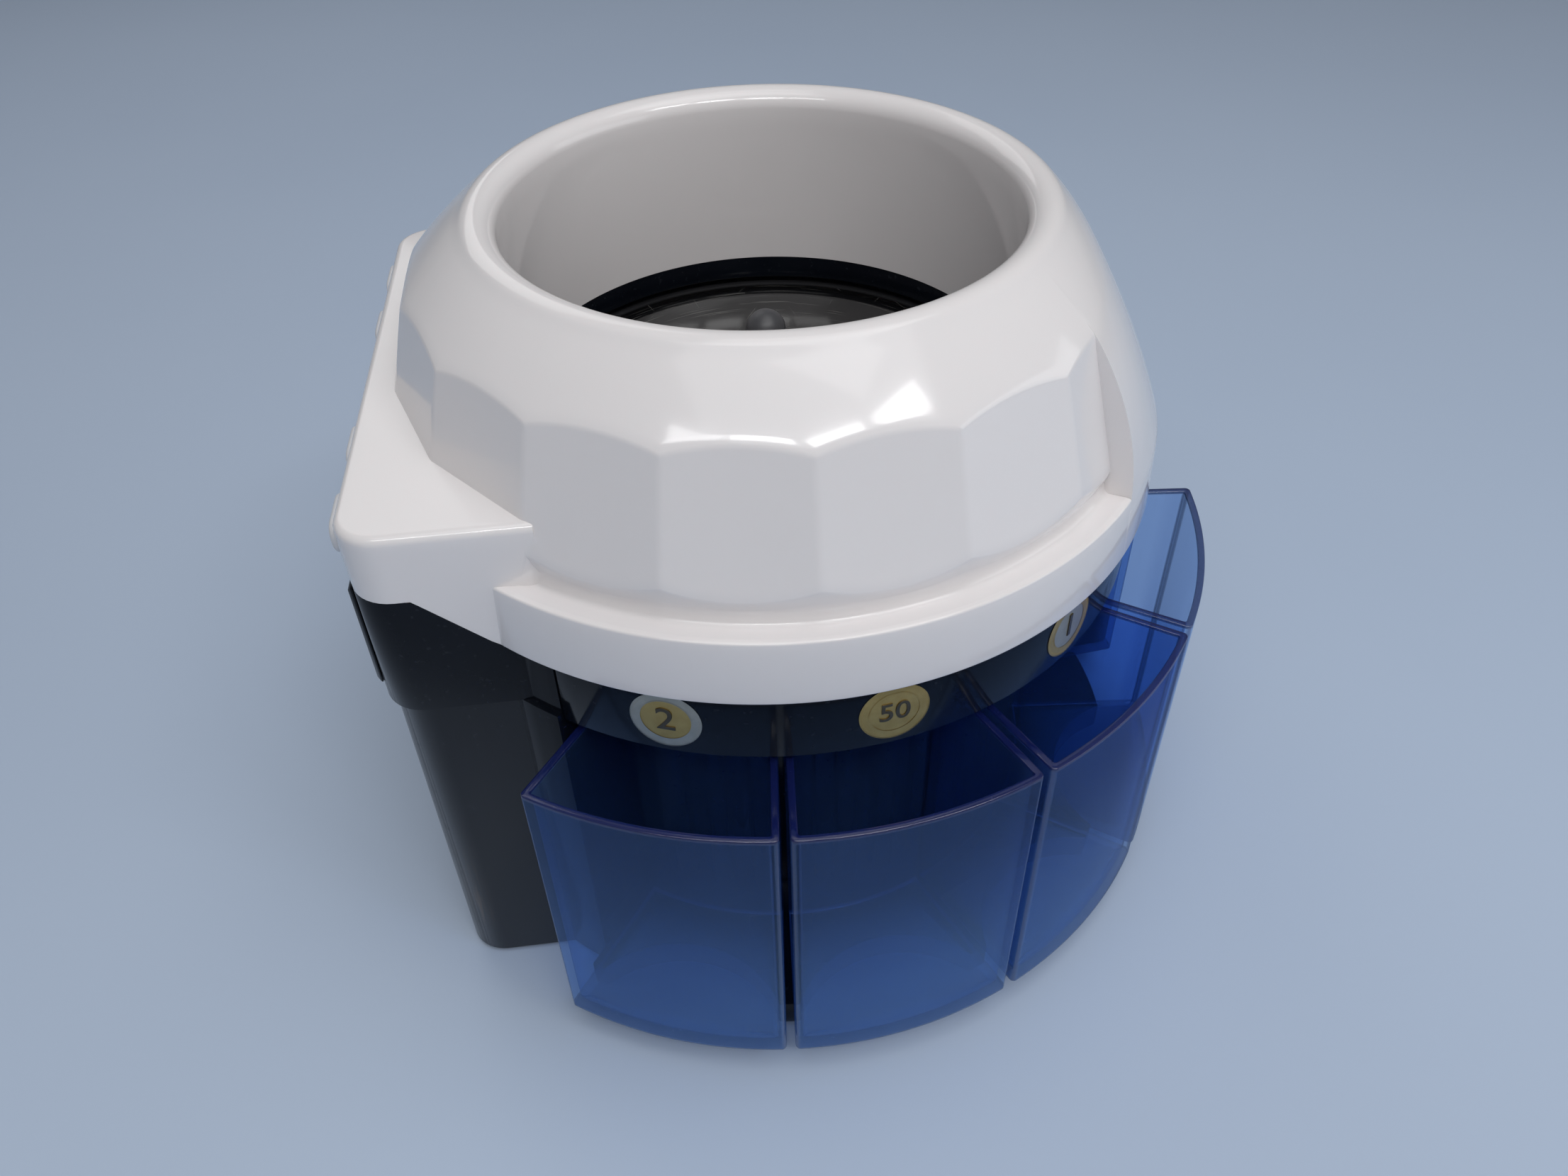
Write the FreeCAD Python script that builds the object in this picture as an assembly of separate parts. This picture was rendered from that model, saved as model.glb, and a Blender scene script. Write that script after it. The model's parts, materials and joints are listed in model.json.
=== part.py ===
"""Coin sorting machine: a white hopper over a ring of eight pull-out coin trays.

Millimetres, +Z up, the control panel faces -Y. Every piece is drawn about the drum's axis,
and the whole machine is then moved so that the origin is the centre of its footprint.
"""
import FreeCAD, Part
import math
import os

from FreeCAD import Vector

# Driving sizes of the casing
TRAY_R = 175.0            # outer radius of the ring of trays
FOOT_H = 3.0              # rubber feet under the base
BASE_H = 13.0             # base plate
TRAY_H = 131.0            # coin trays
WALL = 3.0                # cover and base walls
BODY_WALL = 2.5           # lower body walls
FLANGE_R = 147.9          # skirt of the cover
FLANGE_BOTTOM = 180.4
FLANGE_H = 25.3
FLANGE_DRAFT = 1.1        # the skirt leans in by this much over its height
EDGE_R = 2.0              # rounded top edge of the skirt
LEDGE = 11.1              # from the skirt in to the foot of the faceted barrel
BARREL_FOOT_RISE = 4.3    # heights of the barrel are above the skirt's top
BARREL_SWELL = 2.5        # the barrel swells by this much above its foot
BARREL_MID_RISE = 26.3
BARREL_TOP_IN = 10.2      # and draws in by this much up to the crown
BARREL_TOP_RISE = 54.3
CROWN_IN = 20.9           # a point on the arc between barrel and lip
CROWN_RISE = 64.5
LIP_RISE = 69.7           # centre of the rolled lip
LIP_TUBE = 7.0
LIP_SIDE = 40.0           # degrees above the horizontal where the lip meets the crown
BOWL_R = 94.7             # hopper bore at the bottom
BOWL_DRAFT = 3.0          # the bore narrows by this much up to the lip
BOWL_FOOT_RISE = 3.6
FACETS = 18               # flats round the full circle
FACET_FOOT_IN = 0.2       # the flats' distance inside the barrel's foot, at FACET_FOOT_RISE
FACET_FOOT_RISE = 13.3
FACET_TILT = 15.5         # degrees that each flat leans in
REAR_HALF = 40.0          # half angle of the plain rear panel
REAR_STEPS = 3            # outlines from the middle of the panel to each edge
REAR_EDGE_IN = 6.8        # its profile at its two side edges: drawn in from the skirt, and risen
REAR_EDGE_RISE = 27.3
REAR_SHOULDER_IN = 23.2   # where the edges meet the crown
REAR_BACK_IN = 14.5       # its flatter profile in the middle of the back, at the same heights
REAR_BACK_SHOULDER_IN = 30.2
REAR_SHOULDER_RISE = 56.3
REAR_SET = 0.4            # the panel's foot and head stand this far inside the skirt and the lip
REAR_LAP = 5.0            # degrees the panel's head laps under the lip
REAR_CROWN_IN = 35.5      # a point on the arc from the back's shoulder to the lip

# Front block
BLOCK_HALF = 107.6
BLOCK_IN = 2.1            # the block's front stands this far inside the skirt's radius
BLOCK_TOP = 228.6
BLOCK_SPLIT = 203.0       # seam between the white block and the black body
BLOCK_CORNER = 15.0
BLOCK_EDGE = 3.0          # rounded upper edge
BAND_BOTTOM = 154.0       # proud upper band of the body
BAND_PROUD = 2.0
CHEEK_DROP_START = 0.45   # share of the side face where the slanted seam starts

# Ring of trays
TRAYS = 8                 # two equal rows
TRAY_PITCH = 30.0
TRAY_SPAN = 28.9          # degrees taken by one tray
REAR_GAP = 11.0           # degrees between the two rear trays
TRAY_INNER_R = 114.0
TRAY_WALL = 2.6
TRAY_FLOOR = 3.0
TRAY_CORNER = 2.0
TRAY_BOTTOM_EDGE = 1.0

# Drum core, chutes and sorting rail
CORE_R = 98.0
CORE_TOP = 189.5
CORE_RIBS_PER_TRAY = 3
CORE_RIB_R = 5.0
COLLAR_WALL = 2.7
BADGE_BAND_WALL = 3.0
BADGE_BAND_BOTTOM = 151.0
FIN_WALL = 4.5
FIN_SLOPE = 7.5           # the fins' outer edges slope in by this much down to the trays
FIN_SLOPE_RISE = 6.0
CHUTE_GAP = 0.4           # degrees between the body's cheeks and the ring
CHEEK_GAP = 1.0           # degrees between the cheeks and the first tray seam
RAIL_BOTTOM = 193.0
RAIL_WALL = 3.0
RAIL_INNER_R = 95.6
SLOT_RIM = 4.7            # from the largest slot's outer end to the rail's edge
SLOT_DEPTH = 4.0          # how far a slot is longer than its coin is wide
COIN_SIZES = (25.8, 24.3, 23.3, 22.3, 21.3, 19.8, 18.8, 16.3)
COIN_GAP = 3.5            # coins leave the disc through this height
BADGE_D = 24.4
BADGE_WALL = 0.4
BADGE_Z = 165.5
RING_WALL = 2.8           # black ring under the hopper bore
SENSOR_SIZE = (9.0, 6.0, 7.0)
SENSOR_GAP = 1.0          # from a slot's side to its light barrier

# Base plate
BASE_INSET = 19.0         # the base's lobes end inside the trays' fronts
SCALLOP_R = 45.0
SCALLOP_DEPTH = 23.0
BASE_GAP = 0.4            # degrees between the base's lobes and the body's cheeks
FOOT_R = 8.0
FOOT_FRONT_IN = (17.6, 25.8)   # front feet, from the body's side and front
FOOT_REAR = (78.0, 92.0)
SCREW_HEAD_R = 3.2
SCREW_HEAD_H = 2.2
SCREW_SHANK_R = 1.5
SCREW_DOME = 0.9          # rounding of a screw's head
CROSS_LENGTH = 4.0
CROSS_WIDTH = 1.0
CROSS_DEPTH = 1.0
FOOT_TAPER = 1.0

# Rotating dish
DISC_R = 94.9
DISC_TOP = 196.0
DISC_WALL = 3.5
DISC_RIM_W = 7.0          # flat rim round the dished part
DISC_FLOOR_R = 52.0       # outer radius of the flat middle
DISC_FLOOR_DROP = 8.0
DISC_STEP = 1.0           # shallow step where the dished part meets the flat middle
DISC_HUB_R = 13.0
DISC_HUB_H = 16.0
DISC_BOSS_R = 20.0
DISC_BOSS_H = 2.0
DISC_BOSS_SLOPE = 4.0
SHAFT_R = 4.0
KNOB_R = 7.5
KNOB_H = 45.0
KNOB_WAIST_R = 6.0
KNOB_FOOT_R = 11.5
KNOB_FOOT_H = 2.0
KNOB_GRIP = 8.0           # the shaft's length inside the knob
FIT = 0.05                # running clearance of shafts
SEAT = 0.3                # clearance of parts that are dropped into place

# Drive
DECK_TOP = 153.0
DECK_WALL = 3.0
BEARING_R = 11.0
BEARING_H = 7.0
HOUSING_WALL = 4.0
HOUSING_H = 40.0
HOUSING_FLANGE_R = 24.0
HOUSING_FLANGE_H = 3.0
SHAFT_BOTTOM = 106.0
PULLEY_Z = 158.0
PULLEY_H = 8.0
PULLEY_R = 40.0
MOTOR_PULLEY_R = 10.0
PULLEY_LIP = 1.2
PULLEY_LIP_H = 1.2
MOTOR_X = 62.0
MOTOR_R = 18.5
MOTOR_H = 52.0
MOTOR_SHAFT_R = 3.0
MOTOR_SHAFT_GRIP = 25.0   # how far the shaft runs into the motor
MOTOR_CAP_R = 14.5
MOTOR_CAP_H = 6.0
SHAFT_END = 2.0           # a shaft's length beyond its pulley
BELT_WALL = 1.6
BELT_H = 4.6

# Electronics
BOARD_SIZE = (150.0, 46.0, 1.6)
BOARD_EDGE = 2.0          # from a standoff to the edge of the board
CHIP_SIZE = (28.0, 16.0, 3.0)
CHIP_X = -6.0
CAPACITOR_R = 5.0
CAPACITOR_H = 18.0
CAPACITOR_XS = (40.0, 54.0)
SOCKET_BLOCK = (12.0, 8.0, 9.0)
SOCKET_XS = (-52.0, -36.0)
SOCKET_Y = -16.0          # from the middle of the board
BOARD_IN = 31.8           # from the body's front to the middle of the board
BOARD_RISE = 12.0         # standoffs
STANDOFF_R = 3.5
SUPPLY_SIZE = (84.0, 62.0, 34.0)
SUPPLY_Y = 30.0
SUPPLY_EDGE = 2.0

# Control panel
KEY_SIDE = 27.6           # from the block's side to the middle of an outer key
KEY_BESIDE = 18.0         # from the window's side to the middle of an inner key
KEY_W = 22.0
KEY_H = 12.0
KEY_PROUD = 3.5
KEY_EDGE = 1.2            # rounding of a key's face
KEY_CORNER = 5.0          # rounding of its ends
KEY_SKIRT = 1.5           # flange that keeps a key in the panel
KEY_SKIRT_T = 1.5
KEY_TRAVEL = 1.5
PANEL_Z = 216.0
WINDOW_W = 46.0
WINDOW_H = 14.0
WINDOW_CORNER = 5.9
WINDOW_LAP = 2.0
WINDOW_T = 1.5
LCD_T = 6.0
KEY_BOARD_T = 1.6
KEY_BOARD_H = 18.0
SWITCH_SIZE = (6.0, 6.0)
FASCIA_SIDE = 11.6        # from the block's side to the panel's end
FASCIA_BOTTOM = 158.0
FASCIA_PROUD = 2.0
FASCIA_EDGE = 1.4
FASCIA_GAP = 2.0          # from the panel up to the seam

# Power entry on the left side of the body
POWER_IN = 23.8           # from the body's front to the middle of the inlet
INLET_Z = 44.0
INLET_SIZE = (26.0, 16.0)
INLET_BEZEL = 2.5         # lip round the inlet and the switch
INLET_LIP_T = 2.0
INLET_DEPTH = 18.0
SOCKET_SIZE = (17.0, 9.0)
SOCKET_DEPTH = 13.0
SOCKET_CORNER = 4.0
PIN_R = 1.2
PIN_SPACING = 8.6
PIN_SHORT = 2.0           # the pins end this far inside the socket's mouth
SWITCH_Z = 84.0
ROCKER_W = 11.0
ROCKER_L = 17.0
ROCKER_T = 9.0
ROCKER_TILT = 8.0         # resting tilt, and the same again the other way
ROCKER_DIP = 1.6          # hollow of its face
ROCKER_TAPER = 3.0
ROCKER_END_GAP = 2.0      # room for its ends to swing
ROCKER_PIN_R = 1.2
ROCKER_PIN_GRIP = 3.0

# Heights and radii worked out from the sizes above
BASE_TOP = FOOT_H + BASE_H
TRAY_TOP = BASE_TOP + TRAY_H
FLANGE_TOP = FLANGE_BOTTOM + FLANGE_H
SKIRT_R = FLANGE_R - FLANGE_DRAFT
BARREL_FOOT_R = FLANGE_R - LEDGE
BARREL_FOOT_Z = FLANGE_TOP + BARREL_FOOT_RISE
BARREL_R = BARREL_FOOT_R + BARREL_SWELL
BARREL_Z = FLANGE_TOP + BARREL_MID_RISE
BARREL_TOP_R = BARREL_FOOT_R - BARREL_TOP_IN
BARREL_TOP_Z = FLANGE_TOP + BARREL_TOP_RISE
CROWN_R = BARREL_FOOT_R - CROWN_IN
CROWN_Z = FLANGE_TOP + CROWN_RISE
LIP_R = BOWL_R - BOWL_DRAFT + LIP_TUBE
LIP_Z = FLANGE_TOP + LIP_RISE
LIP_OUTER = (LIP_R + LIP_TUBE * math.cos(math.radians(LIP_SIDE)),
             LIP_Z + LIP_TUBE * math.sin(math.radians(LIP_SIDE)))
BOWL_BOTTOM = FLANGE_TOP + BOWL_FOOT_RISE
FACET_FOOT_R = BARREL_FOOT_R - FACET_FOOT_IN
FACET_FOOT_Z = FLANGE_TOP + FACET_FOOT_RISE
BASE_R = TRAY_R - BASE_INSET
RAIL_TOP = RAIL_BOTTOM + RAIL_WALL
BOWL_OUTER_R = BOWL_R + RING_WALL
CORE_INNER_R = CORE_R - BODY_WALL
SKIRT_INNER_R = SKIRT_R - WALL
BADGE_BAND_R = SKIRT_INNER_R - SEAT
DECK_BOTTOM = DECK_TOP - DECK_WALL
SLOT_R = BADGE_BAND_R - SLOT_RIM - max(COIN_SIZES)
BLOCK_FRONT = FLANGE_R - BLOCK_IN
BODY_HALF = BLOCK_HALF - BAND_PROUD
BODY_FRONT = BLOCK_FRONT - BAND_PROUD
BODY_DRUM_R = FLANGE_R - BAND_PROUD
PANEL_INSIDE = -BLOCK_FRONT + WALL
FASCIA_HALF = BLOCK_HALF - FASCIA_SIDE
KEY_OUT = BLOCK_HALF - KEY_SIDE
KEY_MID = WINDOW_W / 2 + KEY_BESIDE
KEY_XS = (-KEY_OUT, -KEY_MID, KEY_MID, KEY_OUT)
BOARD_Y = BOARD_IN - BODY_FRONT
POWER_Y = POWER_IN - BODY_FRONT
FOOT_FRONT = (BODY_HALF - FOOT_FRONT_IN[0], BODY_FRONT - FOOT_FRONT_IN[1])
FOOT_PLACES = ((-FOOT_FRONT[0], -FOOT_FRONT[1]), (FOOT_FRONT[0], -FOOT_FRONT[1]),
               (-FOOT_REAR[0], FOOT_REAR[1]), FOOT_REAR)
TRAY_SEAMS = [90.0 - REAR_GAP / 2 - TRAY_PITCH * k for k in range(TRAYS // 2 + 1)]
TRAY_AZ = [TRAY_SEAMS[k] - TRAY_PITCH / 2 for k in reversed(range(TRAYS // 2))]
TRAY_AZ += [180.0 - az for az in reversed(TRAY_AZ)]
FIRST_SEAM = TRAY_SEAMS[-1]
CHEEK_HALF = 90 - abs(FIRST_SEAM) - CHEEK_GAP
DISC_FLOOR = DISC_TOP - DISC_FLOOR_DROP
KNOB_FOOT = DISC_FLOOR + DISC_BOSS_H
KNOB_TOP = KNOB_FOOT + KNOB_H
UP = Vector(0, 0, 1)
ORIGIN = Vector(0, 0, 0)

pieces = {}


def polar(radius, degrees, z=0.0):
    """A point at a radius and an angle about the drum's axis."""
    angle = math.radians(degrees)
    return Vector(radius * math.cos(angle), radius * math.sin(angle), z)


def cylinder(radius, bottom, top, x=0.0, y=0.0):
    """An upright cylinder."""
    return Part.makeCylinder(radius, top - bottom, Vector(x, y, bottom))


def tube(outer, inner, bottom, top, x=0.0, y=0.0):
    """An upright tube."""
    return cylinder(outer, bottom, top, x, y).cut(cylinder(inner, bottom - 1, top + 1, x, y))


def block(x0, x1, y0, y1, z0, z1):
    """A box between two corners."""
    return Part.makeBox(x1 - x0, y1 - y0, z1 - z0, Vector(x0, y0, z0))


def rounded_block(half, front, back, radius, z0, z1):
    """An upright box between x = -half and half whose two front edges are rounded."""
    solid = block(-half, half, -front, back, z0, z1)
    edges = [e for e in solid.Edges if upright_at(e, -front)]
    return solid.makeFillet(radius, edges)


def upright_at(edge, y):
    """True for an upright edge whose two ends lie at this y."""
    ends = [v.Point for v in edge.Vertexes]
    level = max(abs(p.y - y) for p in ends) < 1e-6
    return level and abs(ends[0].z - ends[-1].z) > 1e-6


def turned(points, sweep=360.0, start=0.0):
    """A solid of revolution about the drum's axis from (radius, height) points and arcs.

    A point given as (via, end) is reached along an arc through via.
    """
    edges = []
    here = Vector(points[0][0], 0, points[0][1])
    first = here
    for item in points[1:] + [points[0]]:
        if isinstance(item[0], tuple):
            via = Vector(item[0][0], 0, item[0][1])
            end = Vector(item[1][0], 0, item[1][1])
            edges.append(Part.Arc(here, via, end).toShape())
        else:
            end = Vector(item[0], 0, item[1])
            if (end - here).Length > 1e-6:
                edges.append(Part.LineSegment(here, end).toShape())
        here = end
    if (here - first).Length > 1e-6:
        edges.append(Part.LineSegment(here, first).toShape())
    solid = Part.Face(Part.Wire(edges)).revolve(ORIGIN, UP, sweep)
    solid.rotate(ORIGIN, UP, start)
    return solid


def wedge(inner, outer, start, end, inset, z0, z1):
    """A ring sector between two angles, whose flat sides are moved in by a constant inset."""
    def corner(radius, degrees, sign):
        return polar(radius, degrees + sign * math.degrees(math.asin(inset / radius)), z0)

    middle = (start + end) / 2
    a, b = corner(inner, start, 1), corner(outer, start, 1)
    c, d = corner(outer, end, -1), corner(inner, end, -1)
    edges = [
        Part.LineSegment(a, b).toShape(),
        Part.Arc(b, polar(outer, middle, z0), c).toShape(),
        Part.LineSegment(c, d).toShape(),
        Part.Arc(d, polar(inner, middle, z0), a).toShape(),
    ]
    return Part.Face(Part.Wire(edges)).extrude(Vector(0, 0, z1 - z0))


def at_azimuth(solid, degrees):
    """A copy turned about the drum's axis."""
    copy = solid.copy()
    copy.rotate(ORIGIN, UP, degrees)
    return copy


def joined(solids):
    """One solid from several that overlap."""
    return solids[0].multiFuse(solids[1:]).removeSplitter()


def group(solids):
    """Separate solids that share one node."""
    return Part.makeCompound(solids)


def slab(length, height, corner, y0, y1, x=0.0):
    """A plate on edge with rounded corners, in the control panel: length along X, height along Z."""
    z0 = PANEL_Z - height / 2
    solid = block(x - length / 2, x + length / 2, y0, y1, z0, z0 + height)
    edges = [e for e in solid.Edges if abs(e.Vertexes[0].Point.y - e.Vertexes[-1].Point.y) > 1e-6]
    return solid.makeFillet(corner, edges)


def facet_plane_r(z):
    """Distance from the axis to the middle of a flat at this height."""
    return FACET_FOOT_R - math.tan(math.radians(FACET_TILT)) * (z - FACET_FOOT_Z)


def dome():
    """The round part of the cover, before its flats and its hollow."""
    bend = EDGE_R * (1 - math.sqrt(0.5))
    return turned([
        (BOWL_R, FLANGE_BOTTOM),
        (FLANGE_R, FLANGE_BOTTOM),
        (SKIRT_R, FLANGE_TOP - EDGE_R),
        ((SKIRT_R - bend, FLANGE_TOP - bend), (SKIRT_R - EDGE_R, FLANGE_TOP)),
        (BARREL_FOOT_R + EDGE_R, FLANGE_TOP - EDGE_R / 2),
        (BARREL_FOOT_R, BARREL_FOOT_Z),
        ((BARREL_R, BARREL_Z), (BARREL_TOP_R, BARREL_TOP_Z)),
        ((CROWN_R, CROWN_Z), LIP_OUTER),
        ((LIP_R, LIP_Z + LIP_TUBE), (LIP_R - LIP_TUBE, LIP_Z)),
        (BOWL_R, BOWL_BOTTOM),
    ])


def facet_cutter():
    """A slab whose inner face is one flat of the dome, at azimuth zero."""
    reach = 2 * BARREL_R
    solid = block(0, reach, -reach / 2, reach / 2, -reach / 2, reach / 2)
    solid.rotate(ORIGIN, Vector(0, 1, 0), -FACET_TILT)
    solid.translate(Vector(FACET_FOOT_R, 0, FACET_FOOT_Z))
    return solid.common(block(0, reach, -reach, reach, FLANGE_TOP + 1, FLANGE_TOP + reach))


def rear_section(degrees, mid_in, shoulder_in, crown_in):
    """A closed outline of the rear panel in the radial plane at an angle."""
    def at(inward, rise):
        return polar(FLANGE_R - inward, degrees, FLANGE_TOP + rise)

    foot = FLANGE_TOP - 2 * EDGE_R
    skirt = polar(SKIRT_R - REAR_SET, degrees, foot)
    shoulder = at(shoulder_in, REAR_SHOULDER_RISE)
    side = math.radians(LIP_SIDE + REAR_LAP)
    tube = LIP_TUBE - REAR_SET
    top = LIP_Z + tube * math.sin(side)
    lip = polar(LIP_R + tube * math.cos(side), degrees, top)
    inner = [polar(LIP_R - EDGE_R, degrees, top), polar(LIP_R - EDGE_R, degrees, foot)]
    edges = [
        Part.Arc(skirt, at(mid_in, REAR_EDGE_RISE), shoulder).toShape(),
        Part.Arc(shoulder, at(crown_in, CROWN_RISE), lip).toShape(),
        Part.LineSegment(lip, inner[0]).toShape(),
        Part.LineSegment(inner[0], inner[1]).toShape(),
        Part.LineSegment(inner[1], skirt).toShape(),
    ]
    return Part.Wire(edges)


def rear_panel():
    """The plain rear panel: flush with the skirt, bulging at its edges and flatter in the middle."""
    edge = (REAR_EDGE_IN, REAR_SHOULDER_IN, LEDGE + CROWN_IN)
    back = (REAR_BACK_IN, REAR_BACK_SHOULDER_IN, REAR_CROWN_IN)
    sections = []
    for step in range(-REAR_STEPS, REAR_STEPS + 1):
        share = (step / REAR_STEPS) ** 2
        insets = [b + (e - b) * share for e, b in zip(edge, back)]
        sections.append(rear_section(90 + REAR_HALF * step / REAR_STEPS, *insets))
    return Part.makeLoft(sections, True, False)


def rear_clearance():
    """The part of the round dome that the rear panel takes the place of."""
    foot = FLANGE_TOP - EDGE_R
    return turned([(LIP_R, foot), (2 * FLANGE_R, foot), (2 * FLANGE_R, LIP_OUTER[1]), (LIP_R, LIP_OUTER[1])],
                  2 * REAR_HALF, 90 - REAR_HALF)


def slanted_cheek(half, z_top):
    """The two side gussets where the block's seam drops along a slant to the skirt's edge."""
    meet = -math.sqrt(FLANGE_R ** 2 - BLOCK_HALF ** 2)
    begin = -BLOCK_FRONT + CHEEK_DROP_START * (BLOCK_FRONT + meet)
    side = [(begin, z_top), (begin, BLOCK_SPLIT), (meet, FLANGE_BOTTOM), (0, FLANGE_BOTTOM), (0, z_top)]
    points = [Vector(-half, y, z) for y, z in side]
    face = Part.Face(Part.makePolygon(points + points[:1]))
    return face.extrude(Vector(2 * half, 0, 0))


def hopper_cover():
    """The white upper moulding: hopper bore, faceted dome, skirt and front block."""
    flats = [at_azimuth(facet_cutter(), (k + 0.5) * 360.0 / FACETS) for k in range(FACETS)]
    no_skirt = block(-BLOCK_HALF, BLOCK_HALF, -2 * BLOCK_FRONT, 0, FLANGE_BOTTOM - 1, BLOCK_SPLIT)
    in_front = block(-BLOCK_HALF, BLOCK_HALF, -2 * BLOCK_FRONT, -BLOCK_FRONT + BLOCK_EDGE,
                     BLOCK_SPLIT - 1, LIP_Z)
    shell = dome().cut(flats + [no_skirt, in_front, rear_clearance()])
    front = rounded_block(BLOCK_HALF, BLOCK_FRONT, 0.0, BLOCK_CORNER, BLOCK_SPLIT, BLOCK_TOP)
    top_edges = [e for e in front.Edges if e.BoundBox.ZMin > BLOCK_TOP - 1e-6 and e.BoundBox.YMax < -1]
    top_edges += [e for e in front.Edges
                  if e.BoundBox.ZMin > BLOCK_TOP - 1e-6 and e.BoundBox.XLength < 1e-6]
    front = front.makeFillet(BLOCK_EDGE, top_edges)
    gusset = slanted_cheek(BLOCK_HALF, BLOCK_SPLIT + BLOCK_EDGE)
    shell = joined([shell, rear_panel(), front, gusset])
    return shell.cut(cover_hollow()).removeSplitter()


def cover_hollow():
    """Everything taken out of the cover: its inside, the hopper bore and the panel's openings."""
    below = FLANGE_BOTTOM - 1
    ledge_in = FLANGE_TOP - EDGE_R / 2 - WALL
    roof = LIP_Z - LIP_TUBE
    dome_hollow = turned([
        (BOWL_OUTER_R, below),
        (SKIRT_INNER_R, below),
        (SKIRT_INNER_R, ledge_in),
        (BARREL_FOOT_R - WALL, ledge_in),
        (facet_plane_r(FACET_FOOT_Z) - WALL, FACET_FOOT_Z),
        (FLANGE_R - REAR_BACK_SHOULDER_IN - 2 * WALL, BARREL_TOP_Z - WALL),
        (CROWN_R - 3 * WALL, roof),
        (LIP_R, roof),
        (BOWL_OUTER_R, roof - WALL),
    ])
    block_hollow = rounded_block(BLOCK_HALF - WALL, BLOCK_FRONT - WALL, -BOWL_R / 2,
                                 BLOCK_CORNER - WALL, below, BLOCK_TOP - WALL)
    block_hollow = block_hollow.cut(cylinder(BOWL_OUTER_R, below - 1, BLOCK_TOP))
    bore = turned([(0, below), (BOWL_OUTER_R, below), (BOWL_OUTER_R, BOWL_BOTTOM), (BOWL_R, BOWL_BOTTOM),
                   (LIP_R - LIP_TUBE, LIP_Z), (LIP_R - LIP_TUBE, LIP_Z + 2 * LIP_TUBE),
                   (0, LIP_Z + 2 * LIP_TUBE)])
    through = (-BLOCK_FRONT - 1, PANEL_INSIDE + 1)
    cuts = [dome_hollow, block_hollow, bore, slab(WINDOW_W, WINDOW_H, WINDOW_CORNER, *through)]
    for x in KEY_XS:
        cuts.append(slab(KEY_W + 2 * SEAT, KEY_H + 2 * SEAT, KEY_CORNER + SEAT, *through, x=x))
    return cuts


def front_plan(inset, z0, z1, half, front, drum_r, cheek_half):
    """The casing's front: the block and the cheeks beside the first trays."""
    box = rounded_block(half - inset, front - inset, 0.0, BLOCK_CORNER - inset, z0, z1)
    limit = wedge(CORE_R / 2, 2 * front, -90 - cheek_half, -90 + cheek_half, inset, z0, z1)
    cheeks = wedge(CORE_R / 2, drum_r - inset, -90 - cheek_half, -90 + cheek_half, inset, z0, z1)
    return joined([box.common(limit), cheeks])


def body_plan(inset, z0, z1, half, front, drum_r):
    """The casing's plan: its front and the drum core."""
    front_part = front_plan(inset, z0, z1, half, front, drum_r, CHEEK_HALF)
    return joined([front_part, cylinder(CORE_R - inset, z0, z1)])


def open_front(inset, z0, z1):
    """The casing's front moved in by an inset, and running on past the cheeks' ends."""
    return front_plan(inset, z0, z1, BODY_HALF, BODY_FRONT, BODY_DRUM_R, CHEEK_HALF + TRAY_PITCH / 4)


def body_shell():
    """The black lower casing with its proud upper band and ribbed core; its front hides the base."""
    drum_r = BADGE_BAND_R
    apron = front_plan(0.0, FOOT_H, BASE_TOP, BODY_HALF, BODY_FRONT, BODY_DRUM_R, CHEEK_HALF)
    apron = apron.cut(open_front(BODY_WALL, FOOT_H - 1, BASE_TOP + 1))
    apron = apron.cut(cylinder(TRAY_INNER_R, FOOT_H - 1, BASE_TOP + 1))
    lower = body_plan(0.0, BASE_TOP, BAND_BOTTOM, BODY_HALF, BODY_FRONT, BODY_DRUM_R)
    upper = body_plan(0.0, BAND_BOTTOM, CORE_TOP, BLOCK_HALF, BLOCK_FRONT, drum_r)
    crest = rounded_block(BLOCK_HALF, BLOCK_FRONT, 0.0, BLOCK_CORNER, CORE_TOP, BLOCK_SPLIT)
    crest = crest.cut(cylinder(drum_r, CORE_TOP - 1, BLOCK_SPLIT + 1))
    ribs = []
    step = TRAY_PITCH / CORE_RIBS_PER_TRAY
    rib_top = BADGE_BAND_BOTTOM - CORE_RIB_R
    for az in TRAY_AZ:
        for k in range(CORE_RIBS_PER_TRAY):
            place = polar(CORE_R, az + (k - (CORE_RIBS_PER_TRAY - 1) / 2) * step)
            ribs.append(cylinder(CORE_RIB_R, BASE_TOP, rib_top, place.x, place.y))
    solid = joined([lower, upper, crest] + ribs)
    solid = solid.cut(slanted_cheek(BLOCK_HALF + 1, BLOCK_SPLIT + 1))
    solid = solid.cut(body_plan(BODY_WALL, BASE_TOP - 1, BAND_BOTTOM, BODY_HALF, BODY_FRONT, BODY_DRUM_R))
    solid = solid.cut(body_plan(BODY_WALL + BAND_PROUD, BAND_BOTTOM - 1, BLOCK_SPLIT + 1,
                                BLOCK_HALF, BLOCK_FRONT, drum_r))
    solid = solid.cut(cylinder(CORE_INNER_R, BASE_TOP - 1, BLOCK_SPLIT + 1))
    for cutter in power_cutouts():
        solid = solid.cut(cutter)
    return joined([solid, apron])


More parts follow.
